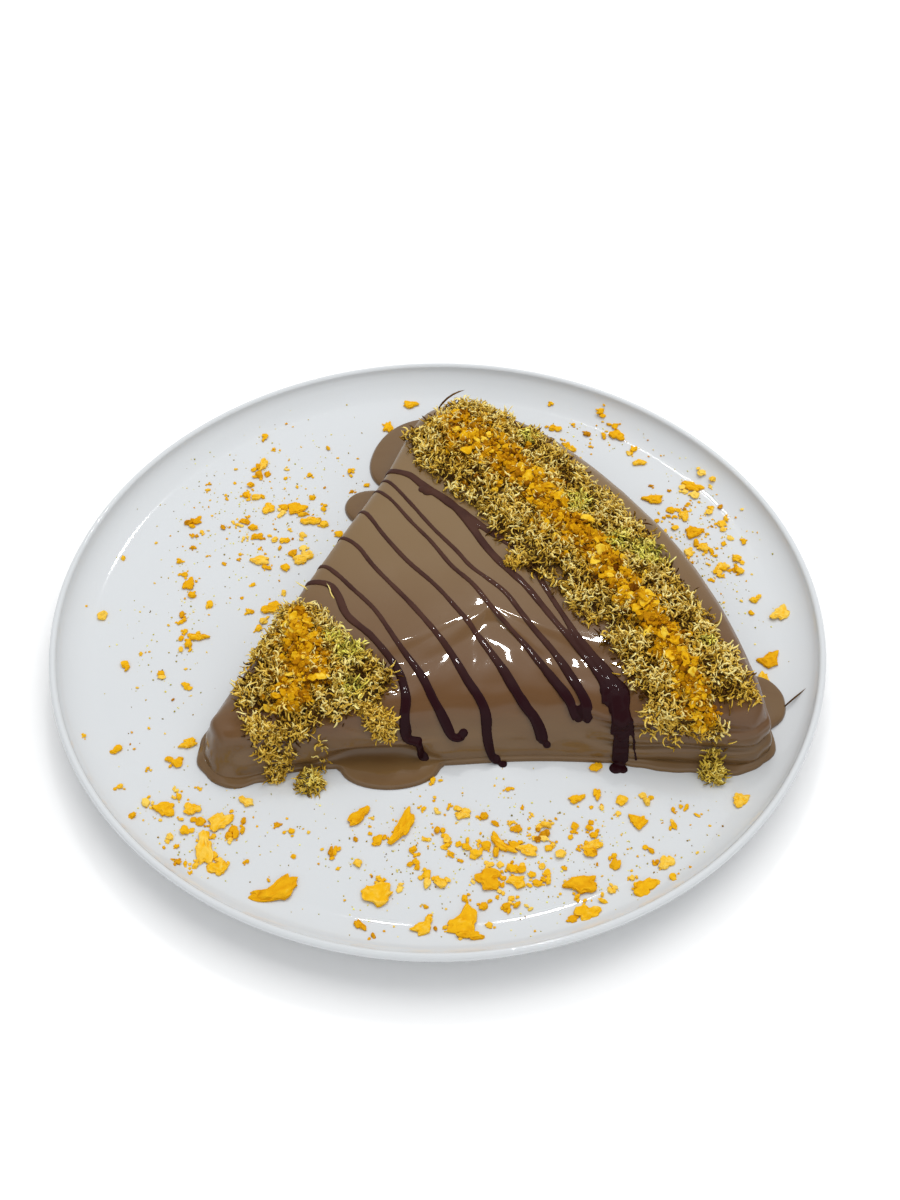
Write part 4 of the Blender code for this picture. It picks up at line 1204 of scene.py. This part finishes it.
studio = {
    "floor": (0.95, 0.96), "world": 0.66, "tint": (0.98, 0.99, 1.0),
    "panel": {"towards": (-0.0767, 1.2259, 1.7948), "distance": 2.175, "size": (0.036, 0.022), "power": 0.45},
    "glint": {"towards": (0.0868, 1.2810, 1.7828), "distance": 2.197, "size": (0.075, 0.05), "power": 2.4},
    "window": {"towards": (0.14, 0.30, 1.0), "distance": 1.5, "size": (1.5, 1.3), "power": 15},
}
view = {"place": (0.004436, -0.374721, 0.450688), "down": 48.690, "lens": 47.18, "sensor": 36}


def makeStage():
    floor = startPiece("floor", bpy.ops.mesh.primitive_circle_add, vertices=96, radius=6, fill_type="NGON")
    f = Finish("paleFloor")
    low, high = studio["floor"]
    colour = f.mix(f.cloud(400), (low, low, low), (high, high, high))
    floor.data.materials.append(f.surface(BaseColor=colour, Roughness=0.9, SpecularIORLevel=0.1))


def addLamp(name, towards, distance, size, power, glints=True):
    lamp = bpy.data.lights.new(name, "AREA")
    lamp.shape = "RECTANGLE"
    lamp.size, lamp.size_y = size
    lamp.energy = power
    holder = bpy.data.objects.new(name, lamp)
    bpy.context.scene.collection.objects.link(holder)
    direction = Vector(towards).normalized()
    holder.location = direction * distance
    holder.rotation_euler = direction.to_track_quat("Z", "Y").to_euler()
    holder.visible_glossy = glints


def makeWorld():
    # Even white all round, brighter in front, softer at the sides and dark straight above
    world = bpy.data.worlds.new("studio")
    bpy.context.scene.world = world
    world.use_nodes = True
    tree = world.node_tree
    place = addNode(tree, "ShaderNodeTexCoord", None, None, "Generated")
    across, behind, height = (addNode(tree, "ShaderNodeSeparateXYZ", None, {0: place}, axis)
                              for axis in (0, 1, 2))
    sides = (across * across).step(0.15, 0.85)
    overhead = height.step(0.80, 0.97)
    glow = (1.0 - 0.7 * overhead) * (1.52 - 0.42 * behind.step(-0.4, 0.4)) * (1.0 - 0.45 * sides)
    tree.links.new((glow * studio["world"]).socket, tree.nodes["Background"].inputs["Strength"])
    tree.nodes["Background"].inputs["Color"].default_value = (*studio["tint"], 1)


def makeCamera():
    camera = bpy.data.cameras.new("camera")
    camera.lens = view["lens"]
    camera.sensor_width = view["sensor"]
    holder = bpy.data.objects.new("camera", camera)
    holder.location = view["place"]
    holder.rotation_euler = (math.radians(90 - view["down"]), 0, 0)
    bpy.context.scene.collection.objects.link(holder)
    bpy.context.scene.camera = holder


def main():
    plateBody = makePlate(glazeFinish())
    print("plate made")
    crepeBody = makeCrepe(milkFinish())
    print("crepe made")
    bare = Ground(crepeBody)
    lines = makeDrizzle(bare, darkFinish())
    print("dark lines made")
    coated = Ground(crepeBody, lines, plateBody)
    shredMaterial = shredFinish()
    crumbMaterial = crumbFinish("goldenCrumbs", crumb["stops"])
    fallenMaterial = crumbFinish("fallenCrumbs", crumb["fallen"])
    # Painted shade: the cores under the strands and the crumbs are coloured dark, standing for the shade in
    # the heaps' inner gaps.
    deep = coreFinish("shredCore", [(0.3, shred["deep"]), (0.7, shred["brown"])], 1.6)
    crumbShade = coreFinish("crumbCore", [(0.3, crumb["deep"]), (0.6, crumb["brown"])], 1.8)
    for side, heap in heaps.items():
        whole = ((0, 1), (0, 0)), ((0, 1), (shred["share"], shred["share"]))
        core = heapCore("shredCore" + side.title(), heap, bare, shred["depth"], *whole, (0.01, 0.99), 0.9)
        settle(core, deep, ["shreds_" + side])
        makeShreds(side, coated, core, shredMaterial)
        places, middles, halves = np.array(heap["streak"]).T
        crumbCore = heapCore("crumbCore" + side.title(), heap, Ground(core, crepeBody), crumb["depth"],
                             (places, middles), (places, halves * 0.85), (places[0], places[-1]), 0.9)
        settle(crumbCore, crumbShade, ["crumbs_" + side])
        makeCrumbs(side, Ground(core, crumbCore, crepeBody), crumbMaterial)
        print(side, "heap made")
    makeTufts(coated, shredMaterial)
    makeStems(coated, shredMaterial)
    makeFlakes(fallenMaterial)
    makeScatter(fallenMaterial, shredMaterial)
    print("plate dressed")
    makeStage()
    makeWorld()
    addLamp("ceilingPanel", **studio["panel"])
    addLamp("frontGlints", **studio["glint"])
    addLamp("windowSoft", **studio["window"], glints=False)
    makeCamera()
    bpy.context.scene.view_settings.view_transform = "Standard"


main()
